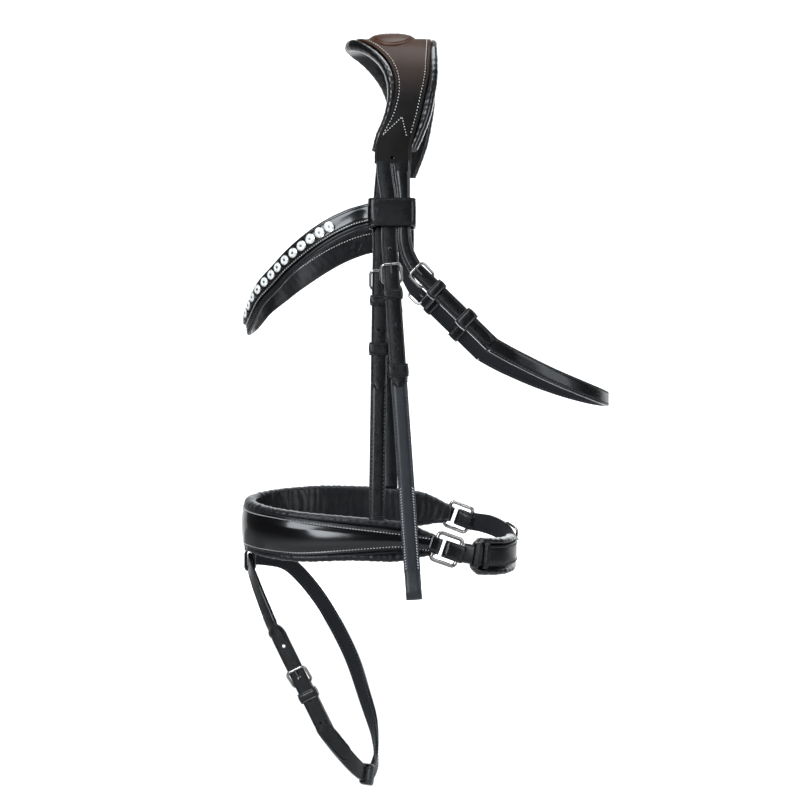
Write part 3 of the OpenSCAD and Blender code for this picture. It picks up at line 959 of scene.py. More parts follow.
@dataclass(frozen=True)
class Paper:
    """Pale studio paper, lit from behind where it glows.

    Attributes:
        name: The material's name.
        grey: How pale it is.
        glow: Strength of its glow.
        lights_all: False where the glow reaches the camera alone.
    """

    name: str
    grey: float
    glow: float
    lights_all: bool

    def make(self, shop: Workshop) -> bpy.types.Material:
        """Builds the material.

        Args:
            shop: Where the shared groups are.

        Returns:
            The material.
        """
        mat, tree, bsdf = shop.blank(self.name)
        n, k = tree.nodes, tree.links
        co, fibre, bump = n.new("ShaderNodeTexCoord"), n.new("ShaderNodeTexNoise"), n.new("ShaderNodeBump")
        give(fibre, "Scale", 300)
        give(bump, "Strength", 0.02)
        wire(k, co, "Object", fibre, "Vector")
        wire(k, fibre, "Fac", bump, "Height")
        wire(k, bump, "Normal", bsdf, "Normal")
        give(bsdf, "Base Color", (self.grey, self.grey, self.grey, 1))
        give(bsdf, "Roughness", 0.85)
        give(bsdf, "Emission Color", (1, 1, 1, 1))
        give(bsdf, "Emission Strength", self.glow)
        if not self.lights_all:
            seen, strength = n.new("ShaderNodeLightPath"), n.new("ShaderNodeMapRange")
            give(strength, "To Max", self.glow)
            wire(k, seen, "Is Camera Ray", strength, "Value")
            wire(k, strength, "Result", bsdf, "Emission Strength")
        return mat


@dataclass(frozen=True)
class Thread:
    """Waxed sewing thread, with its twist."""

    name: str
    colour: tuple[float, float, float]

    def make(self, shop: Workshop) -> bpy.types.Material:
        """Builds the material from the workshop's groups.

        Args:
            shop: The workshop.

        Returns:
            The material.
        """
        mat, tree, bsdf = shop.blank(self.name)
        n, k = tree.nodes, tree.links
        co, twist, bump = n.new("ShaderNodeTexCoord"), n.new("ShaderNodeTexWave"), n.new("ShaderNodeBump")
        twist.bands_direction = "DIAGONAL"
        give(twist, "Scale", 900)
        give(bump, "Strength", 0.5)
        give(bump, "Distance", 0.0002)
        # The thread darkens into the grooves of its twist: painted shade.
        shade = n.new("ShaderNodeMix")
        shade.data_type = "RGBA"
        give(shade, 6, (*(c * 0.6 for c in self.colour), 1))
        give(shade, 7, (*self.colour, 1))
        wire(k, co, "Object", twist, "Vector")
        wire(k, twist, "Fac", bump, "Height")
        wire(k, twist, "Fac", shade, "Factor")
        wire(k, shade, 2, bsdf, "Base Color")
        wire(k, bump, "Normal", bsdf, "Normal")
        give(bsdf, "Roughness", 0.7)
        return mat


class Finish(Enum):
    """Every finish on the bridle."""

    # Each leather's second colour is what its sharp edges and crease ridges lighten to: rubbed wear and a
    # painted highlight.
    BRIDLE = Leather("bridle_leather", (0.0022, 0.0024, 0.003), (0.014, 0.016, 0.021), rough=0.27, wear_and_highlight=0.9,
                     coat=0.3, coat_rough=0.12, coat_ior=1.4, gloss=0.25)
    # The crown leather is near-black below and lighter brown towards the top; the brown top is partly its own
    # tone, partly a painted sheen.
    HAVANA = Leather("havana_leather", (0.0028, 0.0022, 0.0022), (0.016, 0.009, 0.006), rough=0.4, depth=0.3,
                     top_colour_and_sheen=(0.036, 0.0135, 0.005), wear_and_highlight=0.5, gloss=0.12)
    CUSHION = Leather("cushion_leather", (0.042, 0.0145, 0.0062), (0.07, 0.03, 0.015), rough=0.36,
                      creases=0.5, gloss=0.22)
    PATENT = Leather("patent_leather", (0.0012, 0.0012, 0.0018), (0.003, 0.003, 0.004), rough=0.22,
                     depth=0.03, rough_spread=0.05, coat=1.0, coat_rough=0.13, coat_ior=1.42,
                     creases=0.5, wear_and_highlight=0.3, gloss=0.15)
    LINING = Leather("soft_lining", (0.003, 0.0032, 0.0042), (0.016, 0.018, 0.024), rough=0.33, depth=0.6,
                     creases=1.6, crease_scale=140.0, grain=700.0, wear_and_highlight=0.7, coat=0.3, coat_rough=0.2,
                     coat_ior=1.4, gloss=0.2)
    # The cheek straps' lighter blue-grey colour is a painted sheen: it stands in for the sky-blue light that
    # the straps reflect.
    SATIN_PAINTED_SHEEN = Leather("satin_painted_sheen_leather", (0.0072, 0.009, 0.0125), (0.024, 0.028, 0.036), rough=0.36, wear_and_highlight=0.9,
                    coat=0.2, coat_rough=0.2, coat_ior=1.4, gloss=0.4)
    SUEDE = Leather("flesh_side", (0.009, 0.0095, 0.012), (0.022, 0.023, 0.027), rough=0.8, rough_spread=0.08,
                    depth=0.8, grain=1800.0, wear_and_highlight=0.4, sheen=0.08, gloss=0.2)
    SILVER = Metal("silver_metal", (0.3, 0.285, 0.275), 0.15)
    STEEL = Metal("tongue_steel", (0.12, 0.12, 0.125), 0.25)
    PATENT_SOFT = Leather("soft_patent", (0.0016, 0.0016, 0.0022), (0.004, 0.004, 0.005), rough=0.3,
                          depth=0.12, rough_spread=0.08, coat=0.7, coat_rough=0.16, creases=1.2,
                          crease_scale=110.0, wear_and_highlight=0.4, gloss=0.25)
    PAPER = Paper("studio_paper", 0.5, 0.42, False)
    BACKLIT = Paper("backdrop_paper", 0.82, 0.85, True)
    CRYSTAL = CutStone()
    PALE_THREAD = Thread("pale_thread", (0.7, 0.7, 0.67))
    GREY_THREAD = Thread("grey_thread", (0.62, 0.64, 0.67))
    DARK_THREAD = Thread("dark_thread", (0.05, 0.055, 0.065))


# The grain side and the flesh side of a plain strap
STRAP = (Finish.BRIDLE, Finish.SUEDE)


class Bench:
    """Turns shapes into pieces with finishes, and rides them on their bodies."""

    def __init__(self) -> None:
        """Mixes every finish once."""
        shop = Workshop()
        self.mats = {f: f.value.make(shop) for f in Finish}

    def piece(self, name: str, shape: Shape, finishes: Sequence[Finish],
              angle: float = 38.0) -> bpy.types.Object:
        """Makes an object of a shape.

        Args:
            name: The piece's name.
            shape: Its shape, in millimetres.
            finishes: One finish for each mark.
            angle: Edges sharper than this stay sharp, in degrees.

        Returns:
            The object, with its place in its mesh.
        """
        mesh = bpy.data.meshes.new(name)
        mesh.from_pydata([v * MM for v in shape.verts], [], shape.faces)
        mesh.polygons.foreach_set("material_index", shape.marks)
        layer = mesh.uv_layers.new(name="UVMap")
        layer.data.foreach_set("uv", [c for face in shape.uvs for uv in face for c in uv])
        mesh.validate()
        obj = bpy.data.objects.new(name, mesh)
        bpy.context.scene.collection.objects.link(obj)
        for f in finishes:
            mesh.materials.append(self.mats[f])
        self.active(obj)
        bpy.ops.object.mode_set(mode="EDIT")
        bpy.ops.mesh.select_all(action="SELECT")
        bpy.ops.mesh.normals_make_consistent(inside=False)
        bpy.ops.object.mode_set(mode="OBJECT")
        bpy.ops.object.shade_smooth_by_angle(angle=math.radians(angle))
        return obj

    def active(self, obj: bpy.types.Object) -> None:
        """Selects one object alone.

        Args:
            obj: The object.
        """
        bpy.ops.object.select_all(action="DESELECT")
        obj.select_set(True)
        bpy.context.view_layer.objects.active = obj

    def settle(self, obj: bpy.types.Object, finish: Finish, angle: float = 38.0) -> None:
        """Puts a primitive's place into its mesh, and gives it a finish.

        Args:
            obj: The object.
            finish: Its finish.
            angle: Edges sharper than this stay sharp, in degrees.
        """
        self.active(obj)
        bpy.ops.object.transform_apply(location=True, rotation=True, scale=True)
        bpy.ops.object.mode_set(mode="EDIT")
        bpy.ops.mesh.select_all(action="SELECT")
        bpy.ops.mesh.remove_doubles(threshold=0.000002)
        bpy.ops.mesh.normals_make_consistent(inside=False)
        bpy.ops.object.mode_set(mode="OBJECT")
        obj.data.materials.clear()
        obj.data.materials.append(self.mats[finish])
        bpy.ops.object.shade_smooth_by_angle(angle=math.radians(angle))

    def turned(self, name: str, rings: Sequence[tuple[float, float]], sides: int, finish: Finish,
               angle: float = 38.0) -> bpy.types.Object:
        """Turns a part about Z: a filled circle, extruded and resized ring by ring.

        Args:
            name: The part's name.
            rings: Height and radius of each ring, in millimetres.
            sides: How many sides it has.
            finish: Its finish.
            angle: Edges sharper than this stay sharp, in degrees.

        Returns:
            The part, standing on the origin.
        """
        bpy.ops.object.select_all(action="DESELECT")
        bpy.ops.mesh.primitive_circle_add(vertices=sides, radius=rings[0][1] * MM, fill_type="NGON",
                                          location=(0, 0, rings[0][0] * MM))
        obj = bpy.context.object
        obj.name = name
        bpy.ops.object.mode_set(mode="EDIT")
        bpy.ops.mesh.select_all(action="SELECT")
        for (z0, r0), (z1, r1) in zip(rings, rings[1:]):
            bpy.ops.mesh.extrude_region_move(TRANSFORM_OT_translate={"value": (0, 0, (z1 - z0) * MM)})
            bpy.ops.transform.resize(value=(r1 / r0, r1 / r0, 1), center_override=(0, 0, z1 * MM))
        bpy.ops.object.mode_set(mode="OBJECT")
        self.settle(obj, finish, angle)
        return obj

    def copies(self, pattern: bpy.types.Object, name: str, places: Sequence[Matrix],
               keep: bool = False) -> bpy.types.Object:
        """Copies a part to each place, as one piece.

        Args:
            pattern: The part.
            name: The piece's name.
            places: Where each copy goes, in metres.
            keep: False to clear the pattern away.

        Returns:
            The piece.
        """
        made = []
        for m in places:
            mesh = pattern.data.copy()
            mesh.transform(m)
            if m.determinant() < 0:
                mesh.flip_normals()
            obj = bpy.data.objects.new(name, mesh)
            bpy.context.scene.collection.objects.link(obj)
            made.append(obj)
        if not keep:
            self.clear(pattern)
        return self.joined(*made)

    def joined(self, first: bpy.types.Object, *others: bpy.types.Object) -> bpy.types.Object:
        """Joins pieces into the first of them.

        Args:
            first: The first.
            *others: The rest.

        Returns:
            The first.
        """
        self.active(first)
        for o in others:
            o.select_set(True)
        if others:
            bpy.ops.object.join()
        return first

    def clear(self, obj: bpy.types.Object) -> None:
        """Takes a pattern off the bench.

        Args:
            obj: The pattern.
        """
        mesh = obj.data
        bpy.data.objects.remove(obj)
        bpy.data.meshes.remove(mesh)

    def punch(self, obj: bpy.types.Object, places: Sequence[tuple[Vector, Vector]], radius: float = 1.5,
              deep: float = 4.0) -> None:
        """Punches holes through a strap.

        Args:
            obj: The strap.
            places: The middle and the direction of each hole, in millimetres.
            radius: Radius of the punch.
            deep: Length of the punch.
        """
        cutter = Shape()
        for p, n in places:
            x = n.orthogonal().normalized()
            y = n.cross(x)
            base, sides = len(cutter.verts), 14
            for end in (-deep / 2, deep / 2):
                cutter.verts += [p + n * end + (x * math.cos(2 * math.pi * i / sides)
                                                + y * math.sin(2 * math.pi * i / sides)) * radius
                                 for i in range(sides)]
            for i in range(sides):
                j = (i + 1) % sides
                cutter.face((base + i, base + j, base + sides + j, base + sides + i))
            cutter.face([base + i for i in reversed(range(sides))])
            cutter.face([base + sides + i for i in range(sides)])
        tool = self.piece("punch", cutter, [Finish.BRIDLE])
        cut = obj.modifiers.new("holes", "BOOLEAN")
        cut.operation, cut.solver, cut.object = "DIFFERENCE", "EXACT", tool
        self.active(obj)
        bpy.ops.object.modifier_apply(modifier=cut.name)
        self.clear(tool)
        bpy.ops.object.shade_smooth_by_angle(angle=math.radians(38))

    def made(self, name: str, shape: Shape, finishes: Sequence[Finish], body: str, slot: str, *nodes: str,
             angle: float = 38.0, fill: float | None = None) -> bpy.types.Object:
        """Makes a piece of a shape, and rides it.

        Args:
            name: The piece's name.
            shape: Its shape, in millimetres.
            finishes: One finish for each mark.
            body: The body that it rides on.
            slot: The record's material slot; not used.
            *nodes: The CAD nodes that it replaces.
            angle: Edges sharper than this stay sharp, in degrees.
            fill: How full it is, for a padded piece; not used.

        Returns:
            The piece.
        """
        return self.done(self.piece(name, shape, finishes, angle), body, slot, *nodes, fill=fill)

    def done(self, obj: bpy.types.Object, body: str, slot: str, *nodes: str,
             blend: tuple[str, Vector, Vector] | None = None, fill: float | None = None) -> bpy.types.Object:
        """Rides a finished piece, hides the CAD nodes that it replaces, and logs it.

        Args:
            obj: The piece.
            body: The body that it rides on.
            slot: The record's material slot; not used.
            *nodes: The CAD nodes that it replaces.
            blend: The other body, and where the bend would start and end in mm, for a strap across a joint;
                only whether it is given counts: such a strap rides on no body and its place is baked into its
                mesh.
            fill: How full it is, for a padded piece; not used.

        Returns:
            The piece.
        """
        if blend:
            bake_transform(obj)
        else:
            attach(obj, body)
        if nodes:
            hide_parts(*nodes)
        LOG.info("%s: %d faces, on %s", obj.name, len(obj.data.polygons), body)
        return obj


# ---------------- strap fittings


@dataclass(frozen=True)
class Fittings:
    """The metalwork and keepers where a billet meets its buckle.

    Attributes:
        seat: Axes of the strap, from the middle of the buckle's top bar.
        half: Half the width of the strap.
        heel: How far out the heel bar lies.
    """

    seat: Seat
    half: float = STRAP_HALF
    heel: float = HEEL_W

    def buckle(self) -> Shape:
        """Returns the wire frame, which dips from its round top bar to its heel bar.

        Returns:
            The frame.
        """
        wide = self.half + 0.5 + WIRE_R
        points = []
        for a, b in rounded_box(BUCKLE_L / 2, wide, 3.4, 7):
            x = BUCKLE_L / 2 - a
            points.append(self.seat.at(x, b, BAR_W + (self.heel - BAR_W) * x / BUCKLE_L))
        return sweep(ring_stations(points), round_section(WIRE_R * 1.08, 14), closed=True)

    def band(self, u0: float, u1: float, back: float, front: float, spare: float, wall: float = 1.5) -> Shape:
        """Returns a leather band round the strap, with a crease along each edge.

        Args:
            u0: Where it starts along the strap.
            u1: Where it ends.
            back: Inner height of its back.
            front: Inner height of its front.
            spare: Room at each side of the strap.
            wall: Its thickness.

        Returns:
            The band.
        """
        mid, deep = (back + front) / 2, (front - back) / 2 + wall / 2
        half_l = (u1 - u0) / 2
        points = [self.seat.at((u0 + u1) / 2, a, mid + b)
                  for a, b in rounded_box(self.half + spare + wall / 2, deep, 1.5, 5)]
        return sweep(ring_stations(finer(points, 4, 4), self.seat.x, half_l),
                     strap_section(-wall / 2, wall / 2, 0.32, 0.25), closed=True)

    def keeper(self) -> Shape:
        """Returns the fixed keeper below the buckle."""
        return self.band(20.5, 29, FOLD_BACK - 0.1, STRAP_T / 2 + 0.1, 0.1)

    def runner(self, u: float) -> Shape:
        """Returns the runner whose middle is at u."""
        return self.band(u - 5.5, u + 5.5, FOLD_BACK - 0.35, STRAP_T / 2 + 0.35, 0.4)

    def seams(self, start: float, end: float) -> Shape:
        """Sews along both edges of the doubled strap.

        Args:
            start: Where the stitches start.
            end: Where they end.

        Returns:
            The stitches.
        """
        sewn = Shape()
        for y in (STRAP_HALF - 1.6, 1.6 - STRAP_HALF):
            sewn.add(stitch_line(self.seat.run(start, end, STRAP_HALF, 3, FOLD_TOP + 0.15),
                                 lambda s, y=y: y, 0, 3.4))
        return sewn

    def roll(self, x: float, w: float, r: float, half: float, wide: float = 1.0) -> Shape:
        """Returns a round fold of leather across the strap.

        Args:
            x: Where it lies along the strap.
            w: Its height.
            r: Its radius.
            half: Half its length.
            wide: How many times as wide it is.

        Returns:
            The fold.
        """
        stations = [Station(self.seat.at(x, y, w), self.seat.y, self.seat.z, self.seat.x, 1, 1, y)
                    for y in (-half, -half + 0.5, half - 0.5, half)]
        soft = [round_section(r - 0.4, 18, wide), round_section(r, 18, wide)]

        def section(s: Station) -> list[ProfilePoint]:
            """Returns the fold's section, smaller at its ends.

            Args:
                s: The station.

            Returns:
                The points.
            """
            return soft[0 if abs(s.run) > half - 0.2 else 1](s)
        return sweep(stations, section)

    def folded(self, end: float, back: int = BACK) -> Shape:
        """Returns a doubled strap from the fold round the heel bar to end.

        Args:
            end: Where it ends.
            back: Mark of its back.

        Returns:
            The strap.
        """
        shape = sweep(self.seat.run(BUCKLE_L - 1, end, self.half),
                      strap_section(FOLD_BACK, FOLD_TOP, 0.25, 0.12, back))
        shape.add(self.roll(BUCKLE_L, self.heel, 2.8, self.half - 2.2))
        seam = self.seat.run(BUCKLE_L, end, self.half, 8)
        groove = strap_section(-0.18, 0.18, 0)
        for y in (self.half, -self.half):
            out = self.seat.y * math.copysign(1, y)
            line = [Station(s.p + self.seat.y * y + self.seat.z * (FOLD_TOP + FOLD_BACK) / 2, s.t, out,
                            self.seat.z, 0.2, 0.2, s.run) for s in seam]
            shape.add(sweep(line, groove))
        return shape


def tongue(bench: Bench) -> bpy.types.Object:
    """Turns one tapered buckle tongue about Z, to be copied.

    Args:
        bench: The bench.

    Returns:
        The tongue.
    """
    outline = [(0.0, 1.0), (1.5, 1.05), (8.0, 0.95), (14.0, 0.85), (17.0, 0.72), (17.8, 0.45)]
    return bench.turned("tongue", outline, 12, Finish.STEEL)


# ---------------- headpiece


@dataclass
class Headpiece:
    """The padded crown, its poll cushion, and the sliphead under it.

    Attributes:
        side: Rows of [across, height, front edge, rear edge] down one side.
        leather_t: Thickness of the leather.
        pad_front: How far the padding shows in front of the leather.
        pad_rear: The same behind it.
    """

    bench: Bench
    side: tuple[tuple[float, ...], ...] = (
        (0, 8, -38, 37), (-14, 5.5, -33, 37), (-26, -4, -20, 36.5), (-36, -19, -7, 35.5),
        (-43, -35, -0.5, 34), (-48.5, -52, 1, 30.5), (-53, -71, -2.5, 26), (-56.5, -88, -9, 20.5),
        (-59, -101, -12, 16.5), (-61.5, -115, -12.5, 16.5))
    slip_x: tuple[float, ...] = (0, 1, 4, 8, 10, 10, 7, 2, -2, -5)
    leather_t: float = 2.4
    pad_front: float = 4.0
    pad_rear: float = 5.0
    cushion_r: float = 21.0
    cushion_long: float = 30.0

    def rows(self, front: Sequence[float], rear: Sequence[float], count: int = 10) -> list[list[float]]:
        """Returns the rows over the head, off side first.

        Args:
            front: How much is added to the front edge at each row.
            rear: The same for the rear edge.
            count: How many rows of a side are used.
        """
        half = [[0.0, r[0], r[1], r[3] + b, -(r[2] + f)] for r, f, b in zip(self.side[:count], front, rear)]
        return mirrored_rows(half[1:]) + half

    def build(self) -> None:
        """Builds the leather, the padding, the cushion and the sliphead."""
        b = self.bench
        trim = (5.5, 5.5, 5.5, 5.0, 4.5, 3.5, 2.5, 1.0, 0, 0)
        trim_rear = (-2.5, -2.5, -2.5, -2.5, -2.2, -2.0, -1.5, -0.6, 0, 0)
        route = Route(self.rows(trim, trim_rear), Lie.OVER, 2.2)
        leather = sweep(route.stations, strap_section(0, self.leather_t, 0.3, 0.3))
        crown = b.piece("crown_leather_top", leather, [Finish.HAVANA, Finish.LINING])
        slit = [(Vector((1.5, y * 1.0, -110)), Vector((0, 1, 0))) for y in (-61, 61)]
        b.punch(crown, slit, 1.6, 12)
        b.done(crown, "headpiece", "havana_leather", "crown_leather")
        sewn = Shape()
        seam = [s for s in route.stations if s.p.z > -91]
        sewn.add(stitch_line(seam, lambda s: s.up - 2.6, self.leather_t + 0.15, 3.0, 1.5))
        sewn.add(stitch_line(seam, lambda s: -s.down + 2.6, self.leather_t + 0.15, 3.0, 1.5))
        for side in (-1, 1):
            mark = [Vector((x, side * (y + self.leather_t + 0.35), z))
                    for x, y, z in ((-7, 56.8, -90), (9.7, 53.6, -73.5), (13.6, 56.8, -91))]
            sewn.add(sewn_between(mark, Vector((0, side, -0.2)).normalized(), 2.6))
        b.made("crown_stitching", sewn, [Finish.PALE_THREAD], "headpiece", "havana_leather")
        rear = [self.pad_rear + extra for extra in (0, 0, 0, 1, 2, 3, 3.5, 3, 1.5, 0)]
        pads = Route(self.rows([-self.pad_front] * 10, rear, 9), Lie.OVER, 1.6)
        padding = sweep(pads.stations, pad_section(-8, -0.4, 8.5, 1.7, 0.22))
        b.made("crown_padding_soft", padding, [Finish.PATENT_SOFT], "headpiece", "soft_lining",
               "crown_padding", angle=60, fill=0.8)
        piping = Shape()
        for edge in (lambda s: s.up + 0.2, lambda s: -s.down - 0.2):
            line = [Station(s.at(edge(s), 1.5), s.t, s.n, s.w, 1, 1, s.run) for s in route.stations]
            piping.add(sweep(line, round_section(0.9, 8)))
        b.made("crown_piping", piping, [Finish.HAVANA], "headpiece", "havana_leather", angle=60)
        half = [[0.0, r[0], r[1], x + STRAP_HALF, STRAP_HALF - x] for r, x in zip(self.side, self.slip_x)]
        slip = Route(mirrored_rows(half[1:]) + half, Lie.OVER, 5)
        strap = sweep(slip.stations, strap_section(-2.3, -0.3))
        b.made("sliphead_under_crown", strap, STRAP, "headpiece", "bridle_leather", "noseband_sliphead")
        self.cushion()

    def draped(self, x: float, y: float, out: float) -> Vector:
        """Returns the place, in metres, of a point on the cushion.

        Args:
            x: Its distance from the cushion's middle, to the rear.
            y: The same, to the side, measured over the leather.
            out: Its height above the leather.

        Returns:
            The place.
        """
        arc = abs(y)
        k, last = 0, self.side[0]
        while k < len(self.side) - 2:
            step = math.hypot(self.side[k + 1][0] - last[0], self.side[k + 1][1] - last[1])
            if arc <= step:
                break
            arc -= step
            k += 1
            last = self.side[k]
        nxt = self.side[k + 1]
        step = math.hypot(nxt[0] - last[0], nxt[1] - last[1])
        f = arc / step
        before = self.side[max(k - 1, 0)]
        slope_a = math.atan2(last[1] - before[1], abs(last[0] - before[0])) if k else 0.0
        slope_b = math.atan2(nxt[1] - last[1], abs(nxt[0] - last[0]))
        slope = slope_a + (slope_b - slope_a) * min(1.0, f * 2)
        across = -(last[0] + (nxt[0] - last[0]) * f) + (self.leather_t + out) * math.sin(-slope)
        high = last[1] + (nxt[1] - last[1]) * f + (self.leather_t + out) * math.cos(slope)
        return Vector((x + 1, math.copysign(across, y) if y else 0.0, high)) * MM

    def cushion(self) -> None:
        """Builds the round cushion on the poll."""
        b = self.bench
        bpy.ops.object.select_all(action="DESELECT")
        bpy.ops.mesh.primitive_uv_sphere_add(segments=56, ring_count=28, radius=1, location=(0, 0, 0))
        cushion = bpy.context.object
        cushion.name = "poll_cushion_soft"
        bpy.ops.object.mode_set(mode="EDIT")
        bpy.ops.mesh.select_all(action="SELECT")
        bpy.ops.transform.resize(value=(self.cushion_r, self.cushion_long, 1))
        bpy.ops.object.mode_set(mode="OBJECT")
        for v in cushion.data.vertices:
            high = 5.0 if v.co.z > 0 else 1.6
            v.co = self.draped(v.co.x, v.co.y, 0.6 + high * math.copysign(abs(v.co.z) ** 0.8, v.co.z))
        b.settle(cushion, Finish.CUSHION, 60)
        b.done(cushion, "headpiece", "havana_leather", "poll_cushion", fill=0.9)
        bpy.ops.object.select_all(action="DESELECT")
        bpy.ops.mesh.primitive_torus_add(location=(0, 0, 0), major_segments=72, minor_segments=12,
                                         major_radius=self.cushion_r - 0.2, minor_radius=1.1)
        rim = bpy.context.object
        rim.name = "poll_cushion_piping"
        for v in rim.data.vertices:
            v.co = self.draped(v.co.x, v.co.y * self.cushion_long / self.cushion_r, v.co.z + 0.6)
        b.settle(rim, Finish.CUSHION, 60)
        b.done(rim, "headpiece", "havana_leather")


# ---------------- browband


@dataclass
class Browband:
    """The padded browband with its row of crystals, and its two loops.

    Attributes:
        half: Middle line of the near half, from the forehead back to the loop.
        up: Height of the face above its middle line.
        lining_down: How far the lining reaches below it.
        pitch: Distance from crystal to crystal.
        crystals: How many there are in each half.
    """

    bench: Bench
    half: tuple[tuple[float, ...], ...] = (
        (-128, 0, -243), (-126, -11, -238.5), (-115.5, -28, -221), (-100, -40, -206), (-86, -50, -193.5),
        (-68.3, -58, -180.2), (-51, -63, -169.7), (-34, -66, -162.2), (-21.5, -67, -158.6))
    up: float = 7.0
    lining_down: float = 12.0
    pitch: float = 9.6
    crystals: int = 14
    crystal_r: float = 4.5
    face_t: float = 2.2

    def route(self, down_by: float, step: float = 2.0, rise: float = 0.0) -> Route:
        """Returns the browband's line with its edges.

        Args:
            down_by: How far it reaches below its middle line.
            step: Distance between stations.
            rise: How much further it reaches above it on the off side.

        Returns:
            The line.
        """
        rows = [[*r, self.up, down_by] for r in self.half]
        rows.append([-14.5, -68.6, -156.9, self.up, min(down_by, 9)])
        off = mirrored_rows(rows[1:])
        for r in off:
            r[3] += rise * min(1.0, r[1] / 45)
        return Route(off + rows, Lie.SIDE, step)

    def build(self) -> None:
        """Builds the face, the rolls, the crystals and the loops."""
        b = self.bench
        face = self.route(self.up)
        b.made("browband_face", sweep(face.stations, strap_section(0, self.face_t, 0.2, 0.3)),
               [Finish.PATENT, Finish.LINING], "browband", "patent_leather", "browband_leather")
        sewn = stitch_line(face.stations, lambda s: -s.down + 1.1, self.face_t + 0.1, 2.3, 1.15)
        inner = stitch_line([replace(s, n=-s.n) for s in face.stations], lambda s: s.up - 2, 2.85, 2.8)
        b.made("browband_stitching", sewn.add(inner), [Finish.PALE_THREAD], "browband", "patent_leather")
        soft = self.route(self.lining_down, 1.4, 4.0)
        lining = Shape()
        inside = soft.stations[1:-1]
        lining.add(sweep(inside, pad_section(-2.8, -0.4, 3.0, 0.6, 0.12)))
        for drop, r in ((9.2, 1.75), (11.6, 1.35)):
            roll = [Station(s.at(-drop, 0.2), s.t, s.n, s.w, 1, 1, s.run) for s in inside]
            lining.add(sweep(roll, round_section(r, 12)))
        top = [Station(s.at(s.up - 0.1, 0.6), s.t, s.n, s.w, 1, 1, s.run) for s in inside]
        lining.add(sweep(top, round_section(1.25, 12)))
        b.made("browband_rolls", lining, [Finish.LINING], "browband", "soft_lining", "browband_lining",
               angle=60, fill=0.7)
        self.stones()
        for side in Side:
            points = [Vector((1.25 + x, -64.05 + y, -157.75)) for x, y in rounded_box(19.25, 9.55, 4.5, 8)]
            loop = sweep(ring_stations(finer(points, 5, 5), Vector((0, 0, 1)), 11.75),
                         strap_section(-1, 1, 0.25, 0.2), closed=True)
            b.made(f"{side.value}_loop_leather", loop.on(side), STRAP, "browband", "patent_leather",
                   f"{side.value}_browband_loop")

    def stones(self) -> None:
        """Sets the crystals, each in its claw cup."""
        b = self.bench
        r, sides = self.crystal_r, 12
        cut = [(0.6, r * 0.55), (2.0, r * 0.93), (2.5, r * 0.93), (3.4, r * 0.62), (3.5, r * 0.5),
               (3.1, r * 0.26), (3.0, r * 0.24)]
        stone = b.turned("crystal_pattern", cut, sides, Finish.CRYSTAL, 8)
        # The middle of the stone's top takes the dark steel finish: a painted dark reflection in place of the
        # dark that the cut facets show.
        stone.data.materials.append(b.mats[Finish.STEEL])
        for f in stone.data.polygons:
            if f.center.xy.length < r * 0.3 * MM and f.center.z > 2.5 * MM:
                f.material_index = 1
        wall = [(0, r * 0.8), (1.6, r), (2.5, r * 1.0), (2.6, r * 0.86), (0.9, r * 0.6)]
        cup = b.turned("cup_pattern", wall, 20, Finish.SILVER, 40)
        claws = Shape()
        route = Route(self.half, Lie.SIDE, 0.4)
        places = []
        for k in range(self.crystals):
            s = route.near(self.pitch * (k + 0.5))
            for way in (1, -1):
                n = Vector((s.n.x, s.n.y * way, s.n.z))
                up = Vector((s.w.x, s.w.y * way, s.w.z))
                p = s.p + s.n * self.face_t
                places.append((Vector((p.x, p.y * way, p.z)), n, up))
        for p, n, up in places:
            across = up.cross(n)
            for q in range(4):
                a = math.pi / 4 + q * math.pi / 2
                d = across * math.cos(a) + up * math.sin(a)
                line = [Station(p + d * (r * f) + n * h, n, d, n.cross(d), 1, 1, h)
                        for f, h in ((0.99, 0.4), (1.0, 2.2), (0.93, 3.0), (0.78, 3.25))]
                claws.add(sweep(line, round_section(0.34, 6)))
        ms = [Matrix.Translation(p * MM) @ Matrix((up.cross(n), up, n)).transposed().to_4x4()
              for p, n, up in places]
        b.done(b.copies(stone, "browband_stones", ms), "browband", "crystal", "browband_crystals")
        b.done(b.copies(cup, "browband_cups", ms), "browband", "silver")
        b.made("browband_claws", claws, [Finish.SILVER], "browband", "silver", angle=60)


# ---------------- cheekpieces


@dataclass
class Dresser:
    """Makes the fittings of every strap and rides each on its own body."""

    bench: Bench
    tongue: bpy.types.Object

    def fit(self, fittings: Fittings, side: Side, names: dict[str, str], body: str,
            runner_u: float | None = None, prong_body: str = "", runner_body: str = "") -> None:
        """Dresses one buckle.

        Args:
            fittings: The fittings, for the near side.
            side: The side they are for.
            names: The CAD node that each of buckle, prong, keeper and runner stands for.
            body: Body of the strap.
            runner_u: Where the runner is, or None where there is none.
            prong_body: Body of the prong.
            runner_body: Body of the runner.
        """
        b = self.bench
        b.made(f"{names['buckle']}_wire", fittings.buckle().on(side), [Finish.SILVER], body, "silver",
               names["buckle"], angle=60)
        place = fittings.seat.matrix(BUCKLE_L, 0, fittings.heel, 60)
        prong = b.copies(self.tongue, f"{names['prong']}_tongue", [side.flip @ place], keep=True)
        eye = fittings.roll(BUCKLE_L, fittings.heel, 2.0, 1.6).on(side)
        collar = b.piece(f"{names['prong']}_eye", eye, [Finish.SILVER], 60)
        b.done(b.joined(prong, collar), prong_body, "silver", names["prong"])
        if names.get("keeper"):
            b.made(f"{names['keeper']}_band", fittings.keeper().on(side), STRAP, body, "bridle_leather",
                   names["keeper"])
        if runner_u is not None:
            b.made(f"{names['runner']}_band", fittings.runner(runner_u).on(side), STRAP, runner_body,
                   "bridle_leather", names["runner"])


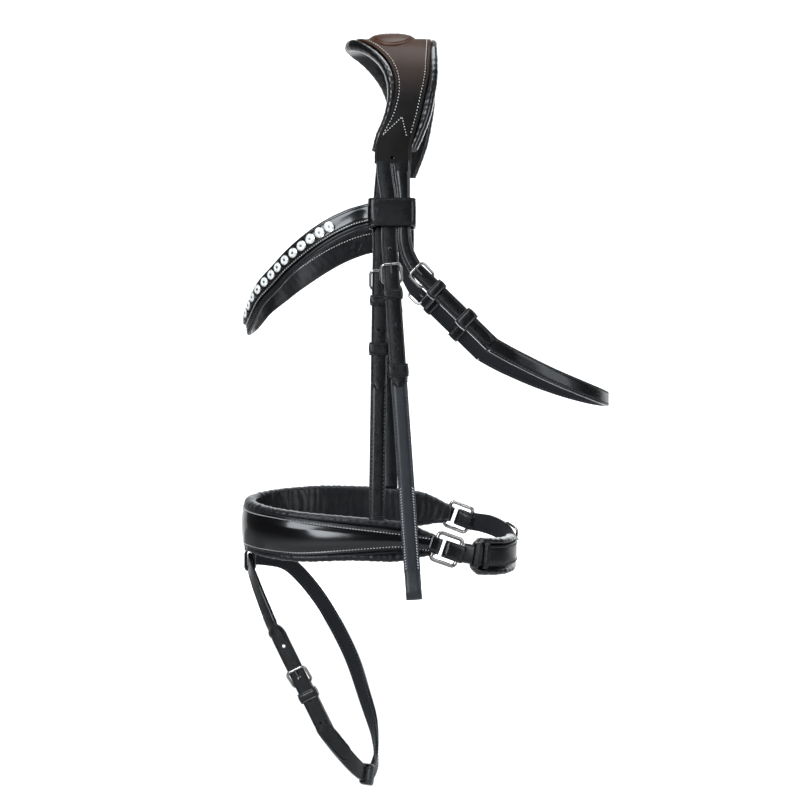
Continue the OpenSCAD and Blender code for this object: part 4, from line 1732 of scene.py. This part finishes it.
@dataclass
class Billet:
    """A strap that leaves the headpiece, bends at its flex line and ends in a point.

    Attributes:
        top: Rows of [x, y, z, half width] from the headpiece to the flex line, near side.
        seat: Axes of its straight end.
        flex_u: Where the straight end starts.
        tip_u: Where it ends.
        half: Half its width there.
        holes: Places of its holes.
    """

    top: list[list[float]]
    seat: Seat
    flex_u: float
    tip_u: float
    half: float
    holes: list[float]

    def stations(self) -> list[Station]:
        """Returns the stations from the headpiece to the tip.

        Returns:
            The stations.
        """
        rows = [[*r[:3], r[3], r[3]] for r in self.top]
        for u in (self.flex_u, self.flex_u + 3, self.flex_u + 8):
            p = self.seat.at(u, 0, 0)
            rows.append([p.x, p.y, p.z, self.half, self.half])
        upper = Route(rows, Lie.HANG, 2.0)
        start = self.flex_u + 8
        lower = pointed(self.seat, start + 2, self.tip_u, self.half)
        return upper.stations + [replace(s, run=s.run + upper.length) for s in lower]

    def build(self, bench: Bench, name: str, side: Side) -> bpy.types.Object:
        """Builds the strap and punches it.

        Args:
            bench: Where it is made.
            name: The piece's name.
            side: Which side it is for.

        Returns:
            The strap, not yet on a body.
        """
        shape = sweep(self.stations(), strap_section(-STRAP_T / 2, STRAP_T / 2, 0.34, 0.3)).on(side)
        obj = bench.piece(name, shape, STRAP)
        sign = 1 if side is Side.NEAR else -1
        places = []
        for u in self.holes:
            p, n = self.seat.at(u, 0, 0), self.seat.z
            places.append((Vector((p.x, p.y * sign, p.z)), Vector((n.x, n.y * sign, n.z))))
        bench.punch(obj, places)
        return obj


@dataclass
class Cheek:
    """A cheekpiece from its buckle down to the eye that holds the bit."""

    bench: Bench
    dresser: Dresser
    side: Side
    buckle_u: float = 18.9
    tip_u: float = 102.5
    eye_u: float = 274.0
    eye_w: float = -3.0
    eye_r: float = 6.5
    stud_u: float = 229.0
    runner_u: float = 89.0
    fancy: tuple[float, float] = (188.0, 258.0)

    @property
    def seat(self) -> Seat:
        """Axes of the strap at its buckle."""
        return Seat.straight(down((-1, -71, FLEX_Z), CHEEK_SLANT, self.buckle_u), CHEEK_SLANT)

    def build(self) -> None:
        """Builds the cheekpiece, its billet and its fittings."""
        b, side, seat = self.bench, self.side, self.seat
        v = side.value
        body = f"{v}_cheek"
        billet = Billet([[-5.75, -62.7, -113, 6.75], [-4.6, -64.2, -125, 6.75], [-1.8, -67.3, -146, 6.75],
                         [-1.0, -70.2, -170, 6.75]], seat, -self.buckle_u, self.tip_u, STRAP_HALF,
                        [8 + HOLE_PITCH * k for k in (-1, 1, 2, 3, 4)])
        strap = billet.build(b, f"{v}_cheek_billet_strap", side)
        sign = -1 if side is Side.NEAR else 1
        b.done(strap, "headpiece", "bridle_leather", f"{v}_cheek_billet",
               blend=(body, Vector((-1, sign * 71, -170)), Vector((-1, sign * 71, -196))))
        lower = Fittings(seat).folded(self.eye_u - 16, FRONT)
        loop = [(252, -2.1), (259, -2.0), (265, -0.6)]
        loop += [(self.eye_u + self.eye_r * math.cos(a), self.eye_w + self.eye_r * math.sin(a))
                 for a in (math.radians(d) for d in range(130, -131, -20))]
        loop += [(265, -5.4), (259, -4.1), (252, -3.9)]
        stations, run = [], 0.0
        pts = [seat.at(x, 0, w) for x, w in loop]
        for i, p in enumerate(pts):
            t = (pts[min(i + 1, len(pts) - 1)] - pts[max(i - 1, 0)]).normalized()
            stations.append(Station(p, t, seat.y.cross(t) * -1, seat.y, STRAP_HALF, STRAP_HALF, run))
            run += 3
        lower.add(sweep(stations, strap_section(-0.9, 0.9, 0.15)))
        # The cheek strap takes the finish with the painted blue-grey sheen.
        b.made(f"{v}_cheek_strap", lower.on(side), [Finish.SATIN_PAINTED_SHEEN, Finish.SUEDE], body, "bridle_leather",
               f"{v}_cheekpiece")
        sewn, fancy = Fittings(seat).seams(self.tip_u + 6, self.fancy[0] - 4), Shape()
        for y in (STRAP_HALF - 1.6, 1.6 - STRAP_HALF):
            fancy.add(stitches([(seat.at(self.fancy[0] + 2.3 * i, y, FOLD_TOP + 0.2),
                                 (seat.x + seat.y * math.copysign(0.9, y)).normalized(), seat.z)
                                for i in range(30)], 1.7, 0.34))
        b.made(f"{v}_cheek_fancy_stitching", fancy.on(side), [Finish.GREY_THREAD], body, "bridle_leather")
        b.made(f"{v}_cheek_stitching", sewn.on(side), [Finish.DARK_THREAD], body, "bridle_leather")
        names = {k: f"{v}_cheek_{k}" for k in ("buckle", "prong", "keeper", "runner")}
        self.dresser.fit(Fittings(seat), side, names, body, self.runner_u, names["prong"], names["runner"])
        head = [(0, 2.0), (0.7, 1.6), (0.9, 2.6), (1.2, 3.4), (1.6, 3.3), (1.8, 2.2)]
        stud = b.turned("stud_pattern", head, 28, Finish.SILVER)
        place = side.flip @ seat.matrix(self.stud_u, 0, FOLD_BACK) @ Matrix.Rotation(math.pi, 4, "X")
        b.done(b.copies(stud, f"{v}_hook_stud_head", [place]), body, "silver", f"{v}_hook_stud")


# ---------------- noseband


@dataclass
class Noseband:
    """The padded crank noseband, its hangers and the loop for the flash strap.

    Attributes:
        half: Rows of [along, across, drop, face up, face down, pad up, pad down], near half.
        slants: Slant of each hanger, in degrees.
        lengths: Length of each hanger below its buckle.
    """

    bench: Bench
    dresser: Dresser
    half: tuple[tuple[float, ...], ...] = (
        (-129, 0, 0, 16.5, 16.5, 23, 21.5), (-127, -12, 0, 16.5, 16, 22.5, 21.5),
        (-118.5, -25, 0, 16, 16, 22.5, 22), (-101, -39.5, 0, 16, 15.5, 22, 22),
        (-69.4, -53.5, 0, 14.5, 14.5, 21, 21.5), (-25.6, -59.3, 0, 10.5, 10.5, 18.5, 19),
        (12, -59.3, 1, 7, 7, 16, 19), (28, -58.5, 3, 6.5, 6.5, 13.5, 15), (40, -57.2, 5, 6.5, 6.5, 10, 11))
    slants: dict[Side, float] = field(default_factory=lambda: {Side.NEAR: -0.8, Side.OFF: 2.0})
    lengths: dict[Side, float] = field(default_factory=lambda: {Side.NEAR: 226.0, Side.OFF: 202.0})
    buckle_u: float = 22.6
    tip_u: float = 100.0
    runner_u: float = 66.0
    seat: tuple[float, float, float] = (-126.3, 0, -457.5)

    def rows(self, up: int, down_by: int) -> list[list[float]]:
        """Returns the noseband's line as it hangs, off side first.

        Args:
            up: Column of the height above the line.
            down_by: Column of the height below it.

        Returns:
            The rows.
        """
        both = mirrored_rows(self.half[1:]) + [list(r) for r in self.half]
        return [[r[0] + NOSE_YAW * r[1], r[1], NOSE_Z - r[2] + NOSE_ROLL * r[1], r[up], r[down_by]]
                for r in both]

    def build(self) -> None:
        """Builds the face, the padding, the hangers and the flash loop."""
        b = self.bench
        face = Route(self.rows(3, 4), Lie.SIDE, 2.0)
        shape = sweep(face.stations, strap_section(0, 2.6, 0.3, 1.5))
        for side in (-1, 1):
            shape.add(self.end_loop(side))
        b.made("noseband_patent", shape, [Finish.PATENT, Finish.LINING], "noseband", "patent_leather",
               "noseband_face", angle=50)
        sewn = stitch_line(face.stations, lambda s: s.up - 1.5, 2.7, 2.6, 1.35)
        sewn.add(stitch_line(face.stations, lambda s: 1.5 - s.down, 2.7, 2.6, 1.35))
        b.made("noseband_stitching", sewn, [Finish.PALE_THREAD], "noseband", "patent_leather")
        rows = self.rows(5, 6)
        for end, y in ((0, 55.2), (len(rows) - 1, -55.2)):
            tail = [51 + NOSE_YAW * y, y, NOSE_Z - 7 + NOSE_ROLL * y, 8.5, 9.5]
            rows.insert(0 if end == 0 else len(rows), tail)
        soft = Route(rows, Lie.SIDE, 1.3)
        face_fine = Route(self.rows(3, 4), Lie.SIDE, 1.3)
        inside = rounded_ends(soft.stations[2:-2], 7.0)
        pad = Shape()
        pad.add(sweep(inside, pad_section(-9.3, -1.2, 7.4, 1.3, 0.36)))
        b.made("noseband_soft_padding", pad, [Finish.LINING], "noseband", "soft_lining", "noseband_padding",
               angle=70, fill=0.75)
        piping = Shape()
        for edge, deep in ((lambda s: s.up + 0.3, 1.0), (lambda s: -s.down - 0.3, 1.0),
                           (lambda s: -s.down - 3.4, 0.4)):
            line = [Station(s.at(edge(s), deep), s.t, s.n, s.w, 1, 1, s.run)
                    for s in face_fine.stations[8:-8]]
            piping.add(sweep(line, round_section(0.95, 10)))
        b.made("noseband_piping", piping, [Finish.LINING], "noseband", "soft_lining", angle=60)
        for side in Side:
            self.hanger(side)
        b.made("flash_loop_leather", self.flash_loop(), STRAP, "noseband", "bridle_leather", "flash_loop")
        self.keepers()

    def end_loop(self, side: int) -> Shape:
        """Returns the leather fold that holds the front bar of a crank ring.

        Args:
            side: -1 for the near ring, 1 for the off ring.

        Returns:
            The fold.
        """
        seat = ring_seat(side)
        points = [seat.at(x, 0, w) for x, w in rounded_box(5.0, 3.0, 2.4, 5)]
        ring = sweep(ring_stations(finer(points, 3, 3), seat.y, 6.9), strap_section(-0.9, 0.9, 0.2),
                     closed=True)
        ring.verts = [v - seat.x * 0.6 for v in ring.verts]
        return ring if side < 0 else ring.flipped()

    def hanger(self, side: Side) -> None:
        """Builds one hanger, with its billet and fittings.

        Args:
            side: Its side.
        """
        b, v, seat = self.bench, side.value, self.hanger_seat(side)
        billet = Billet([[-5, -60.2, -112, 6.75], [-7.2, -58.6, -135, 6.75], [-8.5, -58, -155, 6.75],
                         [-8.5, -58, -172, 6.75]], seat, -self.buckle_u, self.tip_u, STRAP_HALF,
                        [8 + HOLE_PITCH * k for k in range(1, 5)])
        strap = billet.build(b, f"{v}_hanger_billet_strap", side)
        sign = -1 if side is Side.NEAR else 1
        b.done(strap, "headpiece", "bridle_leather", f"{v}_hanger_billet",
               blend=("noseband", Vector((-8.5, sign * 58, -170)), Vector((-8.5, sign * 58, -196))))
        long = self.lengths[side]
        lower = Fittings(seat).folded(long - 13, FRONT)
        lower.add(sweep(seat.run(long - 18, long, STRAP_HALF), strap_section(-1.0, 1.0, 0.2, 0.1)))
        b.made(f"{v}_hanger_strap", lower.on(side), STRAP, "noseband", "bridle_leather", f"{v}_hanger")
        sewn = Fittings(seat).seams(self.tip_u, long - 30)
        b.made(f"{v}_hanger_stitching", sewn.on(side), [Finish.DARK_THREAD], "noseband", "bridle_leather")
        names = {"buckle": f"{v}_hanger_buckle", "prong": f"{v}_hanger_prong", "keeper": "",
                 "runner": f"{v}_hanger_runner"}
        self.dresser.fit(Fittings(seat), side, names, "noseband", self.runner_u, f"{v}_hanger_prong",
                         f"{v}_hanger_runner")

    def hanger_seat(self, side: Side) -> Seat:
        """Returns the axes of a hanger at its buckle."""
        slant = self.slants[side]
        return Seat.straight(down((-8.5, -58, FLEX_Z), slant, self.buckle_u), slant)

    def keepers(self) -> None:
        """Builds the fixed keepers of both hangers."""
        shape = Shape()
        for side in Side:
            shape.add(Fittings(self.hanger_seat(side)).keeper().on(side))
        self.bench.made("hanger_keeper_bands", shape, STRAP, "noseband", "bridle_leather", "hanger_keepers")

    def flash_loop(self) -> Shape:
        """Returns the loop under the nose that holds the flash strap.

        Returns:
            The loop.
        """
        o = Vector(self.seat)
        points = [o + Vector((a, 0, b)) for a, b in rounded_box(4.1, 8.9, 3.3, 6)]
        across = Vector((0, 1, 0))
        shape = sweep(ring_stations(finer(points, 5, 5), across, 5.0), strap_section(-0.9, 0.9, 0.2, 0.2),
                      closed=True)
        tab = [Station(o + Vector((-3.9, 0, z)), Vector((0, 0, 1)), Vector((-1, 0, 0)), across, 5, 5, z)
               for z in (9, 11, 13.5, 15.5)]
        return shape.add(sweep(tab, strap_section(-0.9, 0.9, 0.2)))


def rounded_ends(stations: Sequence[Station], reach: float) -> list[Station]:
    """Returns the stations of a pad with its ends rounded off.

    Args:
        stations: The pad's stations.
        reach: How far the rounding reaches, in millimetres.

    Returns:
        The stations.
    """
    first, last = stations[0].run, stations[-1].run
    out = []
    for s in stations:
        f = min(1.0, min(s.run - first, last - s.run) / reach)
        k = 0.6 + 0.4 * math.sqrt(1 - (1 - f) ** 2)
        out.append(replace(s, up=s.up * k, down=s.down * k))
    return out


def ring_seat(side: int) -> Seat:
    """Returns the axes at the front bar of a crank ring, drawn on the near side.

    Args:
        side: -1 for the near ring, 1 for the off ring.

    Returns:
        The axes.
    """
    o = Vector((45.5 + NOSE_YAW * side * 56.5, -56.5, NOSE_Z - 6 + NOSE_ROLL * side * 56.5))
    return Seat.turned(o, 12, -20)


# ---------------- chin


@dataclass
class Chin:
    """The crank rings and the padded strap that closes the noseband behind the chin."""

    bench: Bench
    dresser: Dresser
    points: tuple[tuple[float, ...], ...] = (
        (60.5, -51.5, -444.8), (76, -45.5, -448), (95, -32, -450), (107, -15, -450), (111.5, 2, -448),
        (109.5, 18, -441.5), (103.5, 31, -435), (92, 42, -430), (76, 51, -427.5))
    half: float = 9.0
    end_half: float = 8.4
    ring_l: float = 22.0
    ring_half_h: float = 11.0
    wire: float = 1.6

    def route(self, up: float, down_by: float) -> Route:
        """Returns the strap's line with its edges."""
        rows = [[*p, up, down_by] for p in self.points]
        return Route(rows, Lie.SIDE, 1.5)

    def narrowed(self, stations: Sequence[Station], full: float) -> list[Station]:
        """Returns the stations with the strap narrowed towards both ends.

        Args:
            stations: The strap's stations.
            full: Its length.

        Returns:
            The stations.
        """
        out = []
        for s in stations:
            f = max(0.0, min(1.0, (min(s.run, full - s.run) - 6) / 12))
            h = self.end_half + (self.half - self.end_half) * f * f * (3 - 2 * f)
            out.append(replace(s, up=h, down=h))
        return out

    def build(self) -> None:
        """Builds the rings, the strap, its pad and its buckle."""
        b = self.bench
        for side in Side:
            seat = ring_seat(-1 if side is Side.NEAR else 1)
            loop = rounded_box(self.ring_l / 2 + 0.1, self.ring_half_h + self.wire * 0.6, 3.2, 7)
            points = [seat.at(self.ring_l / 2 + x, y, 0) for x, y in loop]
            ring = sweep(ring_stations(points), round_section(self.wire * 1.1, 14, 1.15), closed=True)
            obj = b.piece(f"{side.value}_crank_ring_wire", ring.on(side), [Finish.SILVER], 60)
            b.done(obj, "noseband", "silver", f"{side.value}_crank_ring")
        route = self.route(self.half, self.half)
        line = self.narrowed(route.stations, route.length)
        line = [s for s in line if 0.4 < s.run < route.length - 0.4]
        strap = sweep(line, strap_section(-1.5, 1.5, 0.3, 0.25))
        for side in (-1, 1):
            seat = ring_seat(side)
            ring_bar = [seat.at(self.ring_l + x, 0, w) for x, w in rounded_box(8.7, 3.8, 3.3, 6)]
            ring_bar = [p - seat.x * 4.3 for p in ring_bar]
            eye = sweep(ring_stations(ring_bar, seat.y, 7.4), strap_section(-0.8, 0.8, 0.2), closed=True)
            strap.add(eye if side < 0 else eye.flipped())
        body = "chin"
        b.made("chin_strap_leather", strap, STRAP, body, "bridle_leather", "chin_strap")
        sewn = stitch_line(line[10:-14], lambda s: s.up - 1.7, 1.6, 3.0)
        sewn.add(stitch_line(line[10:-14], lambda s: 1.7 - s.down, 1.6, 3.0))
        b.made("chin_stitching", sewn, [Finish.DARK_THREAD], body, "bridle_leather")
        wide = self.route(15.5, 17)
        inside = [s for s in wide.stations if 13 < s.run < wide.length * 0.56]
        ends = len(inside) - 1
        inside = [replace(s, up=s.up * f, down=s.down * f) for i, s in enumerate(inside)
                  for f in [0.72 + 0.28 * math.sin(math.pi / 2 * min(1.0, i / 5, (ends - i) / 5))]]
        pad = sweep(inside, pad_section(-9, -2.2, 6.5, 0.8, 0.3))
        b.made("chin_soft_pad", pad, [Finish.PATENT_SOFT], body, "soft_lining", "chin_pad", angle=70,
               fill=0.85)
        bands = Shape()
        for i in (3, 5):
            s = route.near(route.length * i / 32)
            seat = Seat(s.p, s.t, s.w, s.n)
            bands.add(Fittings(seat, self.half).band(-2.8, 2.8, -1.8, 2.0, 0.3, 1.5))
        b.made("chin_keeper_bands", bands, STRAP, body, "bridle_leather", "chin_keepers")
        s = route.near(self.buckle_run())
        heading, slope = math.degrees(math.atan2(s.t.y, s.t.x)), math.degrees(math.asin(s.t.z))
        seat = Seat.turned(s.p + s.n * (1.5 - FOLD_TOP), heading, slope)
        names = {"buckle": "chin_buckle", "prong": "chin_prong", "keeper": ""}
        self.dresser.fit(Fittings(seat, self.half), Side.NEAR, names, body, None, "chin_prong")

    def buckle_run(self) -> float:
        """Returns how far along the strap the buckle's top bar lies."""
        rows = catmull([list(p) for p in self.points], 4)[:21]
        return sum((Vector(q) - Vector(p)).length for p, q in zip(rows, rows[1:]))


# ---------------- flash strap


@dataclass
class Flash:
    """The flash strap, which closes round the muzzle below the noseband."""

    bench: Bench
    dresser: Dresser
    points: tuple[tuple[float, ...], ...] = (
        (-126.3, 0, -457.5), (-125.8, -7, -459.5), (-120, -18, -470), (-109.5, -31, -490), (-98, -42, -512),
        (-87, -42.5, -534), (-76, -43, -556), (-65, -43.5, -578), (-54, -44, -600), (-42, -36, -618),
        (-30, -22, -636), (-22, -6, -647), (-18, 8, -650), (-14, 24, -641), (-16.5, 38, -618),
        (-26, 47, -588), (-38, 51.5, -554), (-57, 51.5, -517), (-76, 47, -488), (-96, 37, -466),
        (-115, 21, -458.5), (-124.5, 8, -457), (-126.3, 0, -457.5))
    buckle_u: float = 37.0
    fold_half_t: float = 1.8

    def build(self) -> None:
        """Builds the strap, its billet and its fittings."""
        b = self.bench
        rows = [[*p, STRAP_HALF, STRAP_HALF] for p in self.points]
        top, low = Vector(self.points[4]), Vector(self.points[8])
        along = (low - top).normalized()
        n = Vector((along.y, -along.x, 0)).normalized()
        straight = (low - top).length
        heading, slope = math.degrees(math.atan2(along.y, along.x)), math.degrees(math.asin(along.z))
        seat = Seat.turned(top + along * self.buckle_u + n * (self.fold_half_t - FOLD_TOP), heading, slope)
        fittings = Fittings(seat)
        strap = fittings.folded(straight - self.buckle_u + 1, BACK)
        round_rows = Route(rows[8:], Lie.SIDE, 2.2)
        thinned = []
        for s in round_rows.stations:
            f = max(0.0, min(1.0, (18 - (round_rows.length - s.run)) / 12))
            thinned.append(replace(s, n=s.n * (1 - 0.35 * f), up=s.up - f, down=s.down - f))
        strap.add(sweep(thinned, strap_section(-1.8, 1.8, 0.3, 0.12)))
        b.made("flash_strap_leather", strap, STRAP, "flash", "bridle_leather", "flash_strap")
        sewn = stitch_line(thinned[2:-8], lambda s: s.up - 1.6, 1.85, 3.2)
        sewn.add(stitch_line(thinned[2:-8], lambda s: 1.6 - s.down, 1.85, 3.2))
        inner = [replace(s, n=-s.n) for s in thinned[2:-8]]
        sewn.add(stitch_line(inner, lambda s: s.up - 1.6, 1.85, 3.2))
        sewn.add(stitch_line(inner, lambda s: 1.6 - s.down, 1.85, 3.2))
        b.made("flash_stitching", sewn, [Finish.DARK_THREAD], "flash", "bridle_leather")
        fine = catmull(rows[:5], 4)
        start = []
        for i, r in enumerate(fine):
            near = Vector(fine[min(i + 1, 16)][:3]) - Vector(fine[max(i - 1, 0)][:3])
            out = Vector((near.y, -near.x, 0)).normalized()
            p = Vector(r[:3]) + out * (3.0 * i / 16)
            start.append([p.x, p.y, p.z, STRAP_HALF, STRAP_HALF])
        for u in range(-33, int(straight - self.buckle_u), 6):
            p = seat.at(u, 0, 0)
            start.append([p.x, p.y, p.z, STRAP_HALF, STRAP_HALF])
        tail = Route(rows[8:13], Lie.SIDE, 6)
        for s in tail.stations[1:6]:
            p = s.at(0, 3)
            start.append([p.x, p.y, p.z, STRAP_HALF, STRAP_HALF])
        route = Route(start, Lie.SIDE, 1.6)
        ends = []
        for s in route.stations:
            f = max(0.0, 1 - (route.length - s.run) / 8)
            h = 1.6 + (STRAP_HALF - 1.6) * math.sqrt(max(0.0, 1 - f * f * 0.97))
            ends.append(replace(s, up=h, down=h))
        billet = b.piece("flash_billet_leather", sweep(ends, strap_section(-1, 1, 0.34, 0.25)),
                         STRAP)
        b.punch(billet, [(seat.at(u, 0, 0), seat.z) for u in (-22, 8, 29, 50)])
        b.done(billet, "flash", "bridle_leather", "flash_billet")
        names = {"buckle": "flash_buckle", "prong": "flash_prong", "keeper": ""}
        self.dresser.fit(fittings, Side.NEAR, names, "flash", None, "flash_prong")
        bands = fittings.keeper()
        rows_low = catmull([list(p) for p in self.points], 2)
        p, q = Vector(rows_low[21]), Vector(rows_low[23])
        t = (q - p).normalized()
        heading, slope = math.degrees(math.atan2(t.y, t.x)), math.degrees(math.asin(t.z))
        at = Seat.turned(Vector(rows_low[22]), heading, slope)
        bands.add(Fittings(at).band(-5, 5, -2.4, 4.7, 0.5))
        b.made("flash_keeper_bands", bands, STRAP, "flash", "bridle_leather", "flash_keepers")


# ---------------- throatlatch


@dataclass
class Throat:
    """The throatlatch, buckled on both sides."""

    bench: Bench
    dresser: Dresser
    drop: float = 22.0
    slant: float = 45.5
    upper: float = 24.0
    straight: float = 92.0
    tip_u: float = 89.0
    runner_u: float = 60.0
    tail: tuple[tuple[float, ...], ...] = (
        (97.5, -67.6, -275.6), (109, -66, -281.5), (135, -58.5, -293.5), (161, -46, -303.5), (181, -28, -310),
        (191.5, -10, -312.7), (193.5, 0, -313))

    @property
    def seat(self) -> Seat:
        """Axes of the strap at its buckle."""
        return Seat.straight(down((12, -71, FLEX_Z), self.drop, self.upper), self.slant)

    def build(self) -> None:
        """Builds the strap, both billets and their fittings."""
        b, seat = self.bench, self.seat
        mid = (FOLD_TOP + FOLD_BACK) / 2
        first = seat.at(self.straight - 1, 0, mid)
        near = [[first.x, first.y, first.z], *[list(p) for p in self.tail]]
        rows = [[*r, THROAT_HALF, THROAT_HALF] for r in near + mirrored_rows(near[:-1])]
        route = Route(rows, Lie.SIDE, 2.4)
        strap = sweep(route.stations, strap_section(-1.8, 1.8, 0.3, 0.12))
        lower = Fittings(seat, THROAT_HALF).folded(self.straight, BACK)
        strap.add(lower)
        strap.add(Fittings(seat, THROAT_HALF).folded(self.straight, BACK).flipped())
        b.made("throatlatch_strap", strap, STRAP, "throat", "bridle_leather", "throatlatch")
        sewn = Shape()
        for turn in (False, True):
            line = [replace(s, n=-s.n) for s in route.stations] if turn else route.stations
            sewn.add(stitch_line(line, lambda s: s.up - 1.6, 1.85, 3.2))
            sewn.add(stitch_line(line, lambda s: 1.6 - s.down, 1.85, 3.2))
        b.made("throatlatch_stitching", sewn, [Finish.DARK_THREAD], "throat", "bridle_leather")
        bands = Shape()
        for side in Side:
            v, sign = side.value, -1 if side is Side.NEAR else 1
            billet = Billet([[9.25, -62.7, -113, 7.2], [10.2, -64.2, -125, 6.4], [11.4, -67.3, -146, 5.2],
                             [11.6, -70.2, -170, 5.2], [12.4, -71, -184, 5.6], [15.4, -71, -194.5, 5.8]],
                            seat, 0.5, self.tip_u, 6.0, [8 + HOLE_PITCH * k for k in range(1, 4)])
            strap = billet.build(b, f"{v}_throat_billet_strap", side)
            b.done(strap, "headpiece", "bridle_leather", f"{v}_throat_billet",
                   blend=("throat", Vector((12, sign * 71, -171)), Vector((12, sign * 71, -196))))
            names = {"buckle": f"{v}_throat_buckle", "prong": f"{v}_throat_prong", "keeper": "",
                     "runner": f"{v}_throat_runner"}
            fittings = Fittings(seat, THROAT_HALF)
            self.dresser.fit(fittings, side, names, "throat", self.runner_u, f"{v}_throat_prong",
                             f"{v}_throat_runner")
            bands.add(fittings.keeper().on(side))
        b.made("throat_keeper_bands", bands, STRAP, "throat", "bridle_leather", "throat_keepers")


# ---------------- studio


@dataclass(frozen=True)
class Softbox:
    """One soft light."""

    name: str
    place: tuple[float, float, float]
    aim: tuple[float, float, float]
    size: tuple[float, float]
    power: float
    outline: str = "RECTANGLE"

    def build(self) -> None:
        """Hangs the light."""
        data = bpy.data.lights.new(self.name, "AREA")
        data.shape, data.size, data.size_y, data.energy = self.outline, *self.size, self.power
        data.color = (0.9, 0.95, 1.0)
        light = bpy.data.objects.new(self.name, data)
        light.location = self.place
        light.rotation_euler = (Vector(self.aim) - Vector(self.place)).to_track_quat("-Z", "Y").to_euler()
        bpy.context.scene.collection.objects.link(light)


@dataclass
class Studio:
    """The pale floor and backdrop, the soft lights and the camera."""

    bench: Bench
    floor_z: float = -0.78
    middle: tuple[float, float, float] = (0.02, 0.0, -0.33)

    def build(self) -> None:
        """Sets the studio up."""
        lines = [(-2.6, 0), (1.2, 0), (1.7, 0.1), (2.05, 0.4), (2.15, 0.9), (2.15, 3.6)]
        fine = catmull([[y, z] for y, z in lines], 6)
        for name, rows, finish in (("studio_floor", fine[:8], Finish.PAPER),
                                   ("studio_backdrop", fine[7:], Finish.BACKLIT)):
            paper = Shape()
            for y, z in rows:
                paper.verts += [Vector((x, y, self.floor_z + z)) / MM for x in (-4.5, 4.5)]
            for i in range(len(rows) - 1):
                paper.face((2 * i, 2 * i + 1, 2 * i + 3, 2 * i + 2))
            self.bench.piece(name, paper, [finish], 80)
        world = bpy.data.worlds.new("studio")
        world.use_nodes = True
        nodes, links = world.node_tree.nodes, world.node_tree.links
        seen, strength = nodes.new("ShaderNodeLightPath"), nodes.new("ShaderNodeMapRange")
        give(strength, "To Min", 0.07)
        give(strength, "To Max", 0.9)
        wire(links, seen, "Is Camera Ray", strength, "Value")
        links.new(strength.outputs["Result"], nodes["Background"].inputs["Strength"])
        nodes["Background"].inputs["Color"].default_value = (1, 1, 1, 1)
        bpy.context.scene.world = world
        for light in (Softbox("key", (-1.1, -1.5, 0.75), self.middle, (1.0, 1.4), 42),
                      Softbox("side", (1.4, -1.1, 0.1), self.middle, (0.7, 1.6), 16),
                      Softbox("top", (0.1, -0.2, 1.3), (0.0, 0.0, 0.0), (1.2, 0.8), 22),
                      Softbox("front", (-0.56, -1.6, -0.2), self.middle, (0.42, 0.66), 8, "ELLIPSE"),
                      Softbox("back", (0.5, 1.7, 0.6), self.middle, (2.4, 1.2), 12)):
            light.build()
        bpy.context.scene.view_settings.view_transform = "Standard"
        data = bpy.data.cameras.new("camera")
        data.lens, data.sensor_width = 50, 36
        camera = bpy.data.objects.new("camera", data)
        camera.location = (0.008, -1.0, -0.332)
        camera.rotation_euler = (math.radians(91.03), 0, 0)
        bpy.context.scene.collection.objects.link(camera)
        bpy.context.scene.camera = camera


def main() -> None:
    """Builds the bridle, from the headpiece down, and then the studio."""
    logging.basicConfig(level=logging.INFO, format="%(message)s")
    bench = Bench()
    dresser = Dresser(bench, tongue(bench))
    Headpiece(bench).build()
    Browband(bench).build()
    for side in Side:
        Cheek(bench, dresser, side).build()
    Noseband(bench, dresser).build()
    Chin(bench, dresser).build()
    Flash(bench, dresser).build()
    Throat(bench, dresser).build()
    bench.clear(dresser.tongue)
    Studio(bench).build()


if __name__ == "__main__":
    main()
